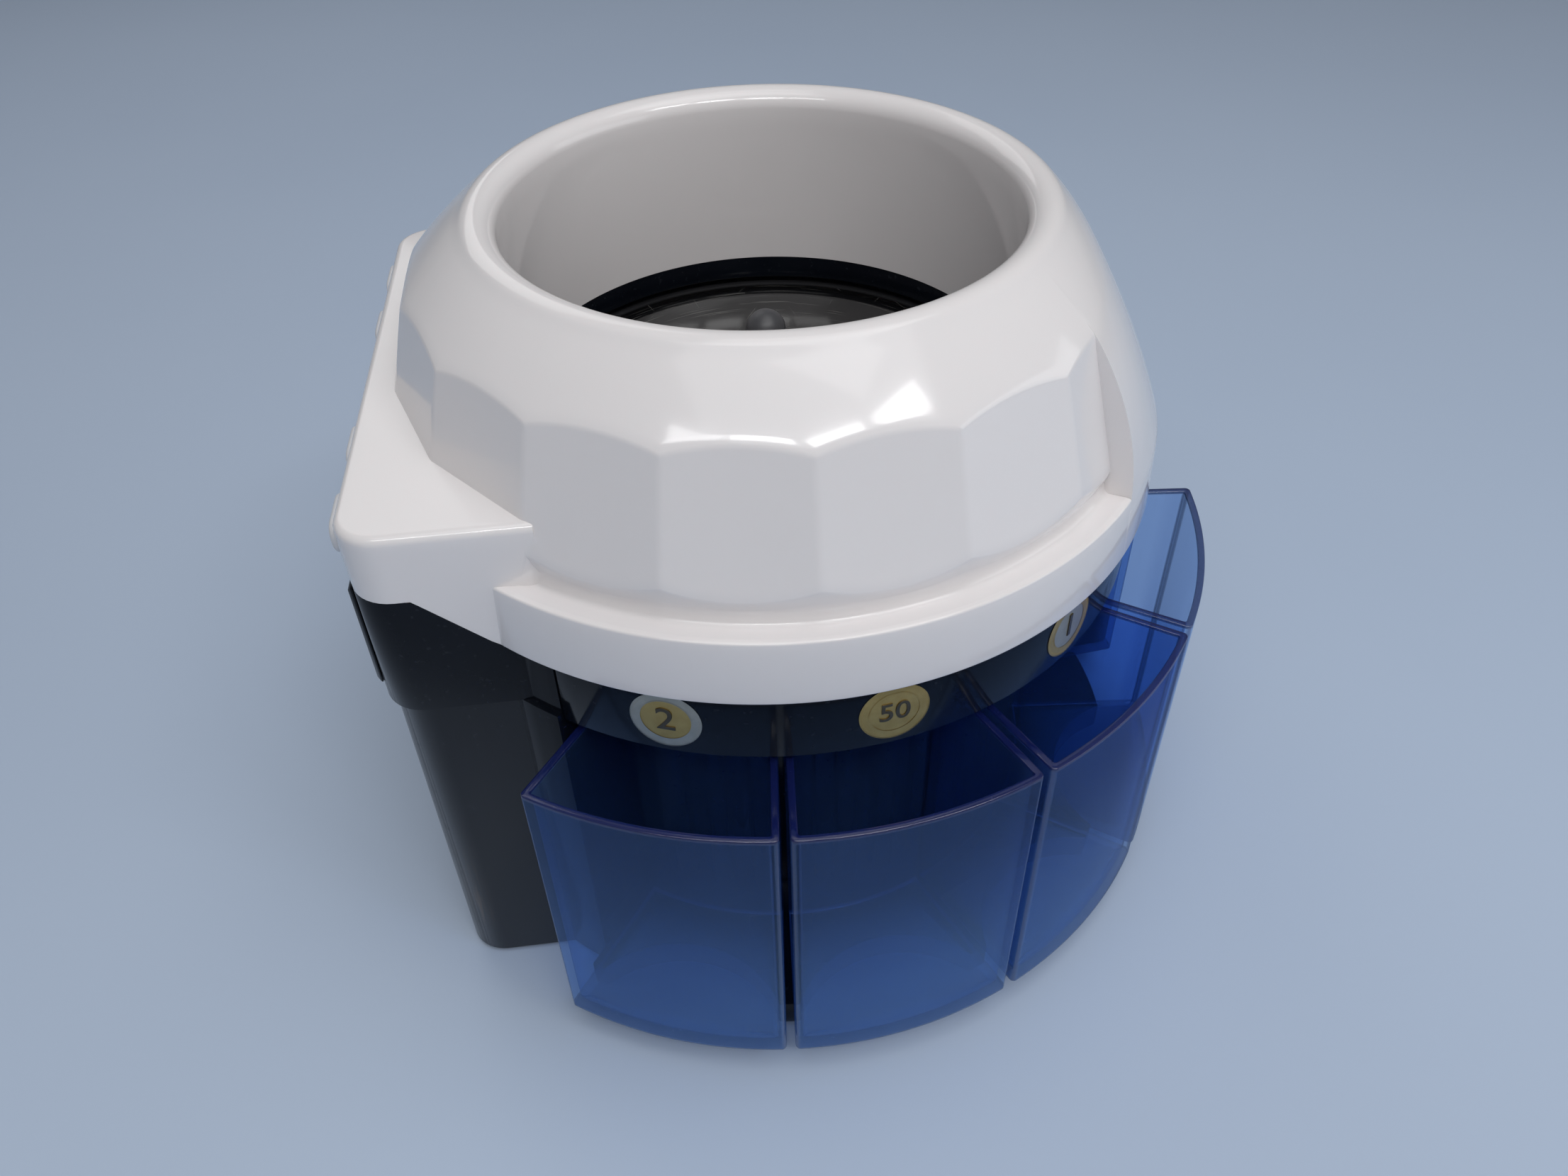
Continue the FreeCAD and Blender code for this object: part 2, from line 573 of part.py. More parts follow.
def power_cutouts():
    """Openings in the left side wall for the mains inlet and the switch, and room for their lips."""
    half_y = INLET_SIZE[0] / 2 + SEAT
    cuts = []
    for z, height in ((INLET_Z, INLET_SIZE[1]), (SWITCH_Z, ROCKER_L + 2 * WALL)):
        half_z = height / 2 + SEAT
        cuts.append(block(-BODY_HALF - 1, -BODY_HALF + BODY_WALL + 1, POWER_Y - half_y, POWER_Y + half_y,
                          z - half_z, z + half_z))
        lip_y, lip_z = half_y + INLET_BEZEL, half_z + INLET_BEZEL
        cuts.append(block(-BODY_DRUM_R, -BODY_HALF, POWER_Y - lip_y, POWER_Y + lip_y, z - lip_z, z + lip_z))
    return cuts


def base_plan(inset, z0, z1):
    """The base's lobed outline: scalloped under each tray, and inside the body's front."""
    disc = cylinder(BASE_R - inset, z0, z1)
    centre = BASE_R - SCALLOP_DEPTH + SCALLOP_R
    for az in TRAY_AZ:
        place = polar(centre, az)
        disc = disc.cut(cylinder(SCALLOP_R + inset, z0 - 1, z1 + 1, place.x, place.y))
    half = CHEEK_HALF + BASE_GAP
    disc = disc.cut(wedge(CORE_R / 2, 2 * BASE_R, -90 - half, -90 + half, -inset, z0 - 1, z1 + 1))
    return joined([disc, open_front(BODY_WALL + SEAT + inset, z0, z1)])


def base_plate():
    """The black base: a plate with a skirt all round, bosses for its feet and screws."""
    solid = base_plan(0.0, FOOT_H, BASE_TOP)
    hollow = base_plan(WALL, FOOT_H - 1, BASE_TOP - WALL)
    for x, y in FOOT_PLACES:
        hollow = hollow.cut(cylinder(FOOT_R + WALL, FOOT_H - 2, BASE_TOP, x, y))
    solid = solid.cut(hollow)
    for x, y in FOOT_PLACES:
        solid = solid.cut(cylinder(SCREW_SHANK_R, FOOT_H - 1, FOOT_H + SCREW_HEAD_H, x, y))
    return solid.removeSplitter()


def rubber_feet():
    """Four feet under the base's bosses."""
    feet = []
    for x, y in FOOT_PLACES:
        foot = Part.makeCone(FOOT_R - FOOT_TAPER, FOOT_R, FOOT_H, Vector(x, y, 0))
        foot = foot.cut(cylinder(SCREW_HEAD_R + SEAT, -1, SCREW_HEAD_H, x, y))
        feet.append(foot.cut(cylinder(SCREW_SHANK_R, 0, FOOT_H + 1, x, y)))
    return group(feet)


def chute_fin(inner):
    """One divider fin at azimuth zero, whose outer edge slopes in towards the trays."""
    outer = BADGE_BAND_R - BADGE_BAND_WALL / 2
    y = -FIN_WALL / 2
    points = [
        Vector(inner, y, TRAY_TOP + SEAT),
        Vector(BADGE_BAND_R - FIN_SLOPE, y, TRAY_TOP + SEAT),
        Vector(outer, y, BADGE_BAND_BOTTOM + FIN_SLOPE_RISE),
        Vector(outer, y, RAIL_BOTTOM),
        Vector(inner, y, RAIL_BOTTOM),
    ]
    return Part.Face(Part.makePolygon(points + points[:1])).extrude(Vector(0, FIN_WALL, 0))


def chute_ring():
    """The black ring that guides coins into the trays: badge band, divider fins and inner collar."""
    start = CHEEK_HALF - 90 + CHUTE_GAP
    end = 180 - start
    inner = CORE_R + SEAT
    span = (start, end, 0.0, BADGE_BAND_BOTTOM, RAIL_BOTTOM)
    band = wedge(BADGE_BAND_R - BADGE_BAND_WALL, BADGE_BAND_R, *span)
    collar = wedge(inner, inner + COLLAR_WALL, *span)
    fin = chute_fin(inner + COLLAR_WALL / 2)
    end_fin = start + math.degrees(math.asin(FIN_WALL / 2 / inner))
    angles = [max(az, end_fin) for az in TRAY_SEAMS]
    fins = [at_azimuth(fin, az) for az in angles + [180 - az for az in angles]]
    return joined([band, collar] + fins)


def sorting_rail():
    """The ring that coins run round, with a wider slot for each larger coin."""
    ring = tube(BADGE_BAND_R, RAIL_INNER_R, RAIL_BOTTOM, RAIL_TOP)
    for az, coin in zip(TRAY_AZ, COIN_SIZES):
        slot = block(SLOT_R, SLOT_R + coin, -(coin + SLOT_DEPTH) / 2, (coin + SLOT_DEPTH) / 2,
                     RAIL_BOTTOM - 1, RAIL_TOP + 1)
        ring = ring.cut(at_azimuth(slot, az))
    return ring


def coin_badges():
    """Round badges that follow the curve of the band, one over each tray."""
    skin = tube(BADGE_BAND_R + BADGE_WALL, BADGE_BAND_R, BADGE_Z - BADGE_D, BADGE_Z + BADGE_D)
    punch = Part.makeCylinder(BADGE_D / 2, TRAY_R, Vector(BADGE_BAND_R / 2, 0, BADGE_Z), Vector(1, 0, 0))
    badge = skin.common(punch)
    return group([at_azimuth(badge, az) for az in TRAY_AZ])


def bowl_ring():
    """The black ring under the hopper bore; coins leave the dish beneath it."""
    return tube(BOWL_OUTER_R, BOWL_R + SEAT, RAIL_TOP + COIN_GAP, BOWL_BOTTOM)


def coin_sensors():
    """A light barrier under the rail beside each slot."""
    length, width, height = SENSOR_SIZE
    sensors = []
    for az, coin in zip(TRAY_AZ, COIN_SIZES):
        x0 = SLOT_R + (coin - length) / 2
        y0 = (coin + SLOT_DEPTH) / 2 + SENSOR_GAP
        sensor = block(x0, x0 + length, y0, y0 + width, RAIL_BOTTOM - height, RAIL_BOTTOM)
        sensors.append(at_azimuth(sensor, az))
    return group(sensors)


def coin_tray(az):
    """One pull-out tray: an open box between two radial sides."""
    start, end = az - TRAY_SPAN / 2, az + TRAY_SPAN / 2
    solid = wedge(TRAY_INNER_R, TRAY_R, start, end, 0.0, BASE_TOP, TRAY_TOP)
    outer = [e for e in solid.Edges if e.BoundBox.ZLength > TRAY_H - 1e-6
             and math.hypot(e.CenterOfMass.x, e.CenterOfMass.y) > (TRAY_INNER_R + TRAY_R) / 2]
    solid = solid.makeFillet(TRAY_CORNER, outer)
    low = [e for e in solid.Edges if e.BoundBox.ZMax < BASE_TOP + 1e-6]
    solid = solid.makeFillet(TRAY_BOTTOM_EDGE, low)
    inside = wedge(TRAY_INNER_R + TRAY_WALL, TRAY_R - TRAY_WALL, start, end, TRAY_WALL,
                   BASE_TOP + TRAY_FLOOR, TRAY_TOP + 1)
    return solid.cut(inside)


def feed_disc():
    """The rotating dish at the bottom of the hopper."""
    under = DISC_TOP - DISC_WALL
    floor = DISC_FLOOR
    boss = floor + DISC_BOSS_H
    bore = SHAFT_R
    rim = DISC_R - DISC_RIM_W
    ledge = floor + DISC_STEP
    reach = rim - DISC_FLOOR_R
    rise = DISC_TOP - ledge
    bend = math.atan2(rise, reach)
    radius = (reach ** 2 + rise ** 2) / (2 * rise)
    middle = (DISC_FLOOR_R + radius * math.sin(bend), ledge + radius * (1 - math.cos(bend)))
    return turned([
        (bore, floor - DISC_WALL - DISC_HUB_H), (DISC_HUB_R, floor - DISC_WALL - DISC_HUB_H),
        (DISC_HUB_R, floor - DISC_WALL), (DISC_FLOOR_R, floor - DISC_WALL),
        (rim, under), (DISC_R, under), (DISC_R, DISC_TOP), (rim, DISC_TOP),
        (middle, (DISC_FLOOR_R, ledge)), (DISC_FLOOR_R, floor),
        (DISC_BOSS_R + DISC_BOSS_SLOPE, floor), (DISC_BOSS_R, boss), (bore, boss),
    ])


def disc_knob():
    """The rounded knob that holds the dish down and stirs the coins."""
    foot = KNOB_FOOT
    ring = foot + KNOB_FOOT_H
    flare = KNOB_FOOT_R - KNOB_WAIST_R
    head = KNOB_TOP - KNOB_R
    return turned([
        (0, foot + KNOB_GRIP), (SHAFT_R, foot + KNOB_GRIP), (SHAFT_R, foot), (KNOB_FOOT_R, foot),
        (KNOB_FOOT_R, ring),
        ((KNOB_FOOT_R - flare * math.sqrt(0.5), ring + flare * (1 - math.sqrt(0.5))),
         (KNOB_WAIST_R, ring + flare)),
        (KNOB_WAIST_R, head - KNOB_R), (KNOB_R, head),
        ((KNOB_R * math.sqrt(0.5), head + KNOB_R * math.sqrt(0.5)), (0, KNOB_TOP)),
    ])


def disc_shaft():
    """The dish's shaft, from under the lower bearing to inside the knob."""
    return cylinder(SHAFT_R, SHAFT_BOTTOM, KNOB_FOOT + KNOB_GRIP)


def pulley(radius, bore, x=0.0):
    """A flat belt pulley with a lip at each end."""
    rim = tube(radius, bore, PULLEY_Z, PULLEY_Z + PULLEY_H, x)
    lips = [tube(radius + PULLEY_LIP, bore, z, z + PULLEY_LIP_H, x)
            for z in (PULLEY_Z, PULLEY_Z + PULLEY_H - PULLEY_LIP_H)]
    return joined([rim] + lips)


def belt_loop(inset_wall, z0, z1):
    """The flat outline of the belt round both pulleys, grown by a wall."""
    big = PULLEY_R + SEAT + inset_wall
    small = MOTOR_PULLEY_R + SEAT + inset_wall
    lean = math.degrees(math.acos((big - small) / MOTOR_X))
    centre = Vector(MOTOR_X, 0, z0)
    a, b = polar(big, lean, z0), polar(big, -lean, z0)
    c, d = polar(small, -lean, z0) + Vector(MOTOR_X, 0, 0), polar(small, lean, z0) + Vector(MOTOR_X, 0, 0)
    edges = [
        Part.Arc(a, Vector(-big, 0, z0), b).toShape(),
        Part.LineSegment(b, c).toShape(),
        Part.Arc(c, centre + Vector(small, 0, 0), d).toShape(),
        Part.LineSegment(d, a).toShape(),
    ]
    return Part.Face(Part.Wire(edges)).extrude(Vector(0, 0, z1 - z0))


def drive_belt():
    """The belt from the motor's pulley to the dish's pulley."""
    middle = PULLEY_Z + PULLEY_H / 2
    z0, z1 = middle - BELT_H / 2, middle + BELT_H / 2
    return belt_loop(BELT_WALL, z0, z1).cut(belt_loop(0.0, z0 - 1, z1 + 1))


def drive_deck():
    """The steel plate inside the core that carries the bearing housing and the motor."""
    deck = cylinder(CORE_INNER_R - SEAT, DECK_BOTTOM, DECK_TOP)
    deck = deck.cut(cylinder(BEARING_R, DECK_BOTTOM - 1, DECK_TOP + 1))
    return deck.cut(cylinder(MOTOR_PULLEY_R, DECK_BOTTOM - 1, DECK_TOP + 1, MOTOR_X))


def bearing_housing():
    """The flanged tube under the deck."""
    outer = BEARING_R + HOUSING_WALL
    body = tube(outer, BEARING_R, DECK_BOTTOM - HOUSING_H, DECK_BOTTOM)
    flange = tube(HOUSING_FLANGE_R, BEARING_R, DECK_BOTTOM - HOUSING_FLANGE_H, DECK_BOTTOM)
    return joined([body, flange])


def bearing(bottom):
    """A ball bearing, drawn as its two races with the cage between them closed by shields."""
    return tube(BEARING_R, SHAFT_R + FIT, bottom, bottom + BEARING_H)


def motor_body():
    """The geared motor hung under the deck."""
    top = DECK_BOTTOM
    can = cylinder(MOTOR_R, top - MOTOR_H, top, MOTOR_X)
    cap = cylinder(MOTOR_CAP_R, top - MOTOR_H - MOTOR_CAP_H, top - MOTOR_H, MOTOR_X)
    bore = cylinder(MOTOR_SHAFT_R + FIT, top - MOTOR_SHAFT_GRIP - 1, top + 1, MOTOR_X)
    return joined([can, cap]).cut(bore)


def motor_shaft():
    """The motor's output shaft."""
    return cylinder(MOTOR_SHAFT_R, DECK_BOTTOM - MOTOR_SHAFT_GRIP, PULLEY_Z + PULLEY_H + SHAFT_END, MOTOR_X)


def board_corners():
    """The four places of the main board's standoffs."""
    edge = STANDOFF_R + BOARD_EDGE
    x, y = BOARD_SIZE[0] / 2 - edge, BOARD_SIZE[1] / 2 - edge
    return [(sx * x, BOARD_Y + sy * y) for sx in (-1, 1) for sy in (-1, 1)]


def main_board():
    """The control board over the front of the base."""
    length, depth, thick = BOARD_SIZE
    z = BASE_TOP + BOARD_RISE
    board = block(-length / 2, length / 2, BOARD_Y - depth / 2, BOARD_Y + depth / 2, z, z + thick)
    return board.cut([cylinder(SCREW_SHANK_R, z - 1, z + thick + 1, x, y) for x, y in board_corners()])


def on_board(size, x, y):
    """A box standing on the control board about a place."""
    length, depth, height = size
    y0 = BOARD_Y + y - depth / 2
    z = BASE_TOP + BOARD_RISE + BOARD_SIZE[2]
    return block(x - length / 2, x + length / 2, y0, y0 + depth, z, z + height)


def board_parts():
    """The larger components on the control board."""
    z = BASE_TOP + BOARD_RISE + BOARD_SIZE[2]
    solids = [on_board(CHIP_SIZE, CHIP_X, 0.0)]
    solids += [cylinder(CAPACITOR_R, z, z + CAPACITOR_H, x, BOARD_Y) for x in CAPACITOR_XS]
    solids += [on_board(SOCKET_BLOCK, x, SOCKET_Y) for x in SOCKET_XS]
    return group(solids)


def board_standoffs():
    """Four posts between the base and the board."""
    return group([cylinder(STANDOFF_R, BASE_TOP, BASE_TOP + BOARD_RISE, x, y) for x, y in board_corners()])


def screw(x, y, z, length):
    """A pan head screw with its head above z and its shank below it."""
    head = cylinder(SCREW_HEAD_R, z, z + SCREW_HEAD_H, x, y)
    rim = [e for e in head.Edges if e.BoundBox.ZMin > z + 1e-6 and len(e.Vertexes) == 1]
    head = head.makeFillet(SCREW_DOME, rim)
    shank = cylinder(SCREW_SHANK_R, z - length, z, x, y)
    reach, half = CROSS_LENGTH / 2, CROSS_WIDTH / 2
    top = z + SCREW_HEAD_H
    cross = block(x - reach, x + reach, y - half, y + half, top - CROSS_DEPTH, top + 1)
    turned_cross = block(x - half, x + half, y - reach, y + reach, top - CROSS_DEPTH, top + 1)
    return joined([head, shank]).cut([cross, turned_cross])


def board_screws():
    """The screws in the board's corners; only the heads stand above the board."""
    z = BASE_TOP + BOARD_RISE + BOARD_SIZE[2]
    return group([screw(x, y, z, BOARD_SIZE[2]) for x, y in board_corners()])


def power_supply():
    """The enclosed mains supply on the base, inside the core."""
    length, depth, height = SUPPLY_SIZE
    solid = block(-length / 2, length / 2, SUPPLY_Y - depth / 2, SUPPLY_Y + depth / 2,
                  BASE_TOP, BASE_TOP + height)
    top_edges = [e for e in solid.Edges if e.BoundBox.ZMin > BASE_TOP + height - 1e-6]
    return solid.makeChamfer(SUPPLY_EDGE, top_edges)


def panel_key(x):
    """One key: a rounded cap through the panel with a flange behind it."""
    back = PANEL_INSIDE + SEAT
    cap = slab(KEY_W, KEY_H, KEY_CORNER, -BLOCK_FRONT - KEY_PROUD, back, x)
    face = [e for e in cap.Edges if e.BoundBox.YMax < -BLOCK_FRONT - KEY_PROUD + 1e-6]
    cap = cap.makeFillet(KEY_EDGE, face)
    skirt = slab(KEY_W + 2 * KEY_SKIRT, KEY_H + 2 * KEY_SKIRT, KEY_CORNER + KEY_SKIRT,
                 back, back + KEY_SKIRT_T, x)
    return joined([cap, skirt])


def key_board_face():
    """The front of the key board, behind the display."""
    return PANEL_INSIDE + WINDOW_T + LCD_T


def display_window():
    """The clear window behind the panel's opening."""
    return block(-WINDOW_W / 2 - WINDOW_LAP, WINDOW_W / 2 + WINDOW_LAP, PANEL_INSIDE, PANEL_INSIDE + WINDOW_T,
                 PANEL_Z - WINDOW_H / 2 - WINDOW_LAP, PANEL_Z + WINDOW_H / 2 + WINDOW_LAP)


def display_module():
    """The display behind its window."""
    y0 = PANEL_INSIDE + WINDOW_T
    return block(-WINDOW_W / 2, WINDOW_W / 2, y0, y0 + LCD_T, PANEL_Z - WINDOW_H / 2, PANEL_Z + WINDOW_H / 2)


def key_board():
    """The board behind the keys."""
    y0 = key_board_face()
    half = KEY_XS[-1] + KEY_W / 2
    return block(-half, half, y0, y0 + KEY_BOARD_T, PANEL_Z - KEY_BOARD_H / 2, PANEL_Z + KEY_BOARD_H / 2)


def key_switches():
    """A small switch under each key, just beyond the end of the key's travel."""
    width, height = SWITCH_SIZE
    tip = PANEL_INSIDE + SEAT + KEY_SKIRT_T + KEY_TRAVEL + SEAT
    return group([block(x - width / 2, x + width / 2, tip, key_board_face(),
                        PANEL_Z - height / 2, PANEL_Z + height / 2) for x in KEY_XS])


def front_fascia():
    """The proud black panel on the front of the body."""
    height = BLOCK_SPLIT - FASCIA_BOTTOM - FASCIA_GAP
    solid = block(-FASCIA_HALF, FASCIA_HALF, -BLOCK_FRONT - FASCIA_PROUD, -BLOCK_FRONT,
                  FASCIA_BOTTOM, FASCIA_BOTTOM + height)
    face = [e for e in solid.Edges if e.BoundBox.YMax < -BLOCK_FRONT - FASCIA_PROUD + 1e-6]
    return solid.makeChamfer(FASCIA_EDGE, face)


def inlet_pins():
    """The inlet's two contact pins."""
    x0 = -BODY_HALF - INLET_LIP_T + SOCKET_DEPTH
    places = [Vector(x0, POWER_Y + s * PIN_SPACING / 2, INLET_Z) for s in (-1, 1)]
    length = SOCKET_DEPTH - PIN_SHORT
    return group([Part.makeCylinder(PIN_R, length, place, Vector(-1, 0, 0)) for place in places])


def power_inlet():
    """The two-pin mains inlet in the left side."""
    width, height = INLET_SIZE
    x0 = -BODY_HALF
    barrel = block(x0, x0 + INLET_DEPTH, POWER_Y - width / 2, POWER_Y + width / 2,
                   INLET_Z - height / 2, INLET_Z + height / 2)
    lip = block(x0 - INLET_LIP_T, x0, POWER_Y - width / 2 - INLET_BEZEL, POWER_Y + width / 2 + INLET_BEZEL,
                INLET_Z - height / 2 - INLET_BEZEL, INLET_Z + height / 2 + INLET_BEZEL)
    width, height = SOCKET_SIZE
    mouth = x0 - INLET_LIP_T
    socket = block(mouth - 1, mouth + SOCKET_DEPTH, POWER_Y - width / 2, POWER_Y + width / 2,
                   INLET_Z - height / 2, INLET_Z + height / 2)
    along = [e for e in socket.Edges if e.BoundBox.XLength > SOCKET_DEPTH]
    return joined([barrel, lip]).cut(socket.makeFillet(SOCKET_CORNER, along))


def switch_bezel():
    """The frame of the power switch."""
    x0 = -BODY_HALF
    half_y = INLET_SIZE[0] / 2
    half_z = ROCKER_L / 2 + WALL
    frame = block(x0, x0 + INLET_DEPTH, POWER_Y - half_y, POWER_Y + half_y,
                  SWITCH_Z - half_z, SWITCH_Z + half_z)
    lip = block(x0 - INLET_LIP_T, x0, POWER_Y - half_y - INLET_BEZEL, POWER_Y + half_y + INLET_BEZEL,
                SWITCH_Z - half_z - INLET_BEZEL, SWITCH_Z + half_z + INLET_BEZEL)
    well_y = ROCKER_W / 2 + SEAT
    well_z = (ROCKER_L + ROCKER_END_GAP) / 2
    well = block(x0 - INLET_LIP_T - 1, x0 + ROCKER_T + ROCKER_END_GAP, POWER_Y - well_y, POWER_Y + well_y,
                 SWITCH_Z - well_z, SWITCH_Z + well_z)
    pivot = rocker_pin(ROCKER_PIN_R + FIT, ROCKER_PIN_GRIP + 1)
    return joined([frame, lip]).cut([well, pivot])


def rocker_x():
    """The depth of the rocker's pivot."""
    return -BODY_HALF + ROCKER_T / 2


def rocker_pin(radius, grip):
    """The rocker's pivot pin, reaching into the bezel on both sides."""
    start = Vector(rocker_x(), POWER_Y - ROCKER_W / 2 - grip, SWITCH_Z)
    return Part.makeCylinder(radius, ROCKER_W + 2 * grip, start, Vector(0, 1, 0))


def power_rocker():
    """The switch's rocker with its pivot pin, resting tilted to one side."""
    x0 = rocker_x() - ROCKER_T / 2 - INLET_LIP_T
    half = (ROCKER_L - ROCKER_END_GAP) / 2
    points = [Vector(x0, 0, half), Vector(x0 + ROCKER_DIP, 0, 0), Vector(x0, 0, -half),
              Vector(x0 + ROCKER_T, 0, -half + ROCKER_TAPER), Vector(x0 + ROCKER_T, 0, half - ROCKER_TAPER)]
    solid = Part.Face(Part.makePolygon(points + points[:1])).extrude(Vector(0, ROCKER_W, 0))
    solid.translate(Vector(0, POWER_Y - ROCKER_W / 2, SWITCH_Z))
    solid = joined([solid, rocker_pin(ROCKER_PIN_R, ROCKER_PIN_GRIP)])
    solid.rotate(Vector(rocker_x(), POWER_Y, SWITCH_Z), Vector(0, 1, 0), ROCKER_TILT)
    return solid


def foot_screws():
    """The screws that hold the feet, heads down in the feet's recesses."""
    screws = []
    for x, y in FOOT_PLACES:
        solid = screw(x, y, 0.0, FOOT_H)
        solid.rotate(Vector(x, y, 0), Vector(1, 0, 0), 180)
        solid.translate(Vector(0, 0, SCREW_HEAD_H))
        screws.append(solid)
    return group(screws)


def build():
    """Every node of the machine by name, about the drum's axis."""
    pieces["hopper_cover"] = hopper_cover()
    pieces["body_shell"] = body_shell()
    pieces["base_plate"] = base_plate()
    pieces["rubber_feet"] = rubber_feet()
    pieces["chute_ring"] = chute_ring()
    pieces["sorting_rail"] = sorting_rail()
    pieces["coin_badges"] = coin_badges()
    pieces["bowl_ring"] = bowl_ring()
    pieces["coin_sensors"] = coin_sensors()
    for k, az in enumerate(TRAY_AZ):
        pieces["coin_tray_%d" % (k + 1)] = coin_tray(az)
    pieces["feed_disc"] = feed_disc()
    pieces["disc_knob"] = disc_knob()
    pieces["disc_shaft"] = disc_shaft()
    pieces["disc_pulley"] = pulley(PULLEY_R, SHAFT_R)
    pieces["drive_belt"] = drive_belt()
    pieces["drive_deck"] = drive_deck()
    pieces["bearing_housing"] = bearing_housing()
    pieces["upper_bearing"] = bearing(DECK_BOTTOM - BEARING_H)
    pieces["lower_bearing"] = bearing(DECK_BOTTOM - HOUSING_H)
    pieces["motor_body"] = motor_body()
    pieces["motor_shaft"] = motor_shaft()
    pieces["motor_pulley"] = pulley(MOTOR_PULLEY_R, MOTOR_SHAFT_R, MOTOR_X)
    pieces["main_board"] = main_board()
    pieces["board_parts"] = board_parts()
    pieces["board_standoffs"] = board_standoffs()
    pieces["board_screws"] = board_screws()
    pieces["power_supply"] = power_supply()
    for k, x in enumerate(KEY_XS):
        pieces["panel_key_%d" % (k + 1)] = panel_key(x)
    pieces["display_window"] = display_window()
    pieces["display_module"] = display_module()
    pieces["key_board"] = key_board()
    pieces["key_switches"] = key_switches()
    pieces["front_fascia"] = front_fascia()
    pieces["power_inlet"] = power_inlet()
    pieces["inlet_pins"] = inlet_pins()
    pieces["switch_bezel"] = switch_bezel()
    pieces["power_rocker"] = power_rocker()
    pieces["foot_screws"] = foot_screws()


def footprint_shift():
    """The move that brings the centre of the footprint to the origin."""
    rear = pieces["coin_tray_%d" % (TRAYS // 2)].optimalBoundingBox(False).YMax
    front = -BLOCK_FRONT - KEY_PROUD
    return Vector(0, -(front + rear) / 2, 0)


def export():
    """Write one file per node, with the origin under the middle of the machine."""
    os.makedirs("parts", exist_ok=True)
    shift = footprint_shift()
    print("footprint shift", round(shift.y, 4))
    for name, shape in pieces.items():
        shape.translate(shift)
        shape.exportStep("parts/%s.step" % name)
        box = shape.BoundBox
        corners = (box.XMin, box.XMax, box.YMin, box.YMax, box.ZMin, box.ZMax)
        print(name, len(shape.Solids), shape.isValid(), round(shape.Volume), [round(v, 1) for v in corners])


build()
export()
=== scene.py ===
"""Looks of the coin sorting machine: glossy white hopper, black casing, clear blue trays."""
import bmesh
import bpy
import json
import math
from mathutils import Matrix, Vector


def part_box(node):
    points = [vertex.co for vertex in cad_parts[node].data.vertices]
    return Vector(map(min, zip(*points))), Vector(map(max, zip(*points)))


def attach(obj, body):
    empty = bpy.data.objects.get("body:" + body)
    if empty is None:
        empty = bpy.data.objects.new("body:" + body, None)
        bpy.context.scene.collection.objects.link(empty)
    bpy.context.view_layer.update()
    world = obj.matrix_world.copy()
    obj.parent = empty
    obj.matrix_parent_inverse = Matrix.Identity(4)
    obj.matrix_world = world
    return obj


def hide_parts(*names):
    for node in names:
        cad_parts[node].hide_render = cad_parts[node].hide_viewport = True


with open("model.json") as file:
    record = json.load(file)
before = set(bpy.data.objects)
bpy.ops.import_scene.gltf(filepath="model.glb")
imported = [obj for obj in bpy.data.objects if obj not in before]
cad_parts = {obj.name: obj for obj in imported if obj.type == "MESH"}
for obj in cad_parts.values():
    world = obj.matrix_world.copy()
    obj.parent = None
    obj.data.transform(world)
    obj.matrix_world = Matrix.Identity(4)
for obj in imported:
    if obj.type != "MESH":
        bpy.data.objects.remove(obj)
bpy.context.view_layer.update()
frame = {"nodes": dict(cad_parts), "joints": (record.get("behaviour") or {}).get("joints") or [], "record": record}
NODES = frame["nodes"]
RECORD = frame["record"]
SLOT_OF = {part["node"]: part["material_slot"] for part in RECORD["subparts"]}
JOINTS = {joint["name"]: joint for joint in frame["joints"]}
MM = 0.001

# Places and sizes read from the frame
AXIS_Y = JOINTS["dish_spin"]["pos_m"][1]
TRAY_COUNT = sum(name.startswith("coin_tray_") for name in NODES)
TRAY_AZ = [math.degrees(math.atan2(*reversed(JOINTS["tray_%d_slide" % (k + 1)]["axis"][:2])))
           for k in range(TRAY_COUNT)]
TRAY_BOTTOM, TRAY_TOP = (corner.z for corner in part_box("coin_tray_1"))
TRAY_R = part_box("coin_tray_2")[1].x
COVER_LOW, COVER_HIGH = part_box("hopper_cover")
BADGE_LOW, BADGE_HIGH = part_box("coin_badges")
KEY_BOXES = [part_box("panel_key_%d" % (k + 1)) for k in range(4)]
KNOB_LOW, KNOB_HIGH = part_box("disc_knob")
DISH_LOW, DISH_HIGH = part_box("feed_disc")
RING_LOW, RING_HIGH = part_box("bowl_ring")

# Hopper cover, about the drum's axis
SKIRT_R = COVER_HIGH.x
SKIRT_BOTTOM = COVER_LOW.z
SKIRT_TOP = SKIRT_BOTTOM + 25.3 * MM
SKIRT_DRAFT = 1.1 * MM
SKIRT_EDGE = 2.2 * MM
COVER_WALL = 3.0 * MM
BARREL = ((126.6 * MM, 260.0 * MM), (139.3 * MM, 232.0 * MM), (136.8 * MM, 210.0 * MM))
CROWN_VIA = (115.9 * MM, 270.2 * MM)
LIP_TUBE = 7.0 * MM
LIP_Z = COVER_HIGH.z - LIP_TUBE
LIP_R = 98.7 * MM
LIP_SIDE = 40.0
BOWL_R = 94.7 * MM
BOWL_BOTTOM = RING_HIGH.z
FACETS = 18
FACET_FOOT = (136.6 * MM, 219.0 * MM)
FACET_SLOPE = math.tan(math.radians(15.5))
SOFT_EDGE = 0.45 * MM
CROWN_STEPS, FLAT_STEPS, FOOT_STEPS = 9, 14, 4     # mesh rows over, on and under a flat
RIDGE_NEAR = 0.05         # a mesh line this close to a ridge, in degrees, is on it
RIDGE_EASE = 0.12 * MM    # the ridges are taken down by this much
LEDGE_DROP = 1.0 * MM
LEDGE_START = 0.6 * MM
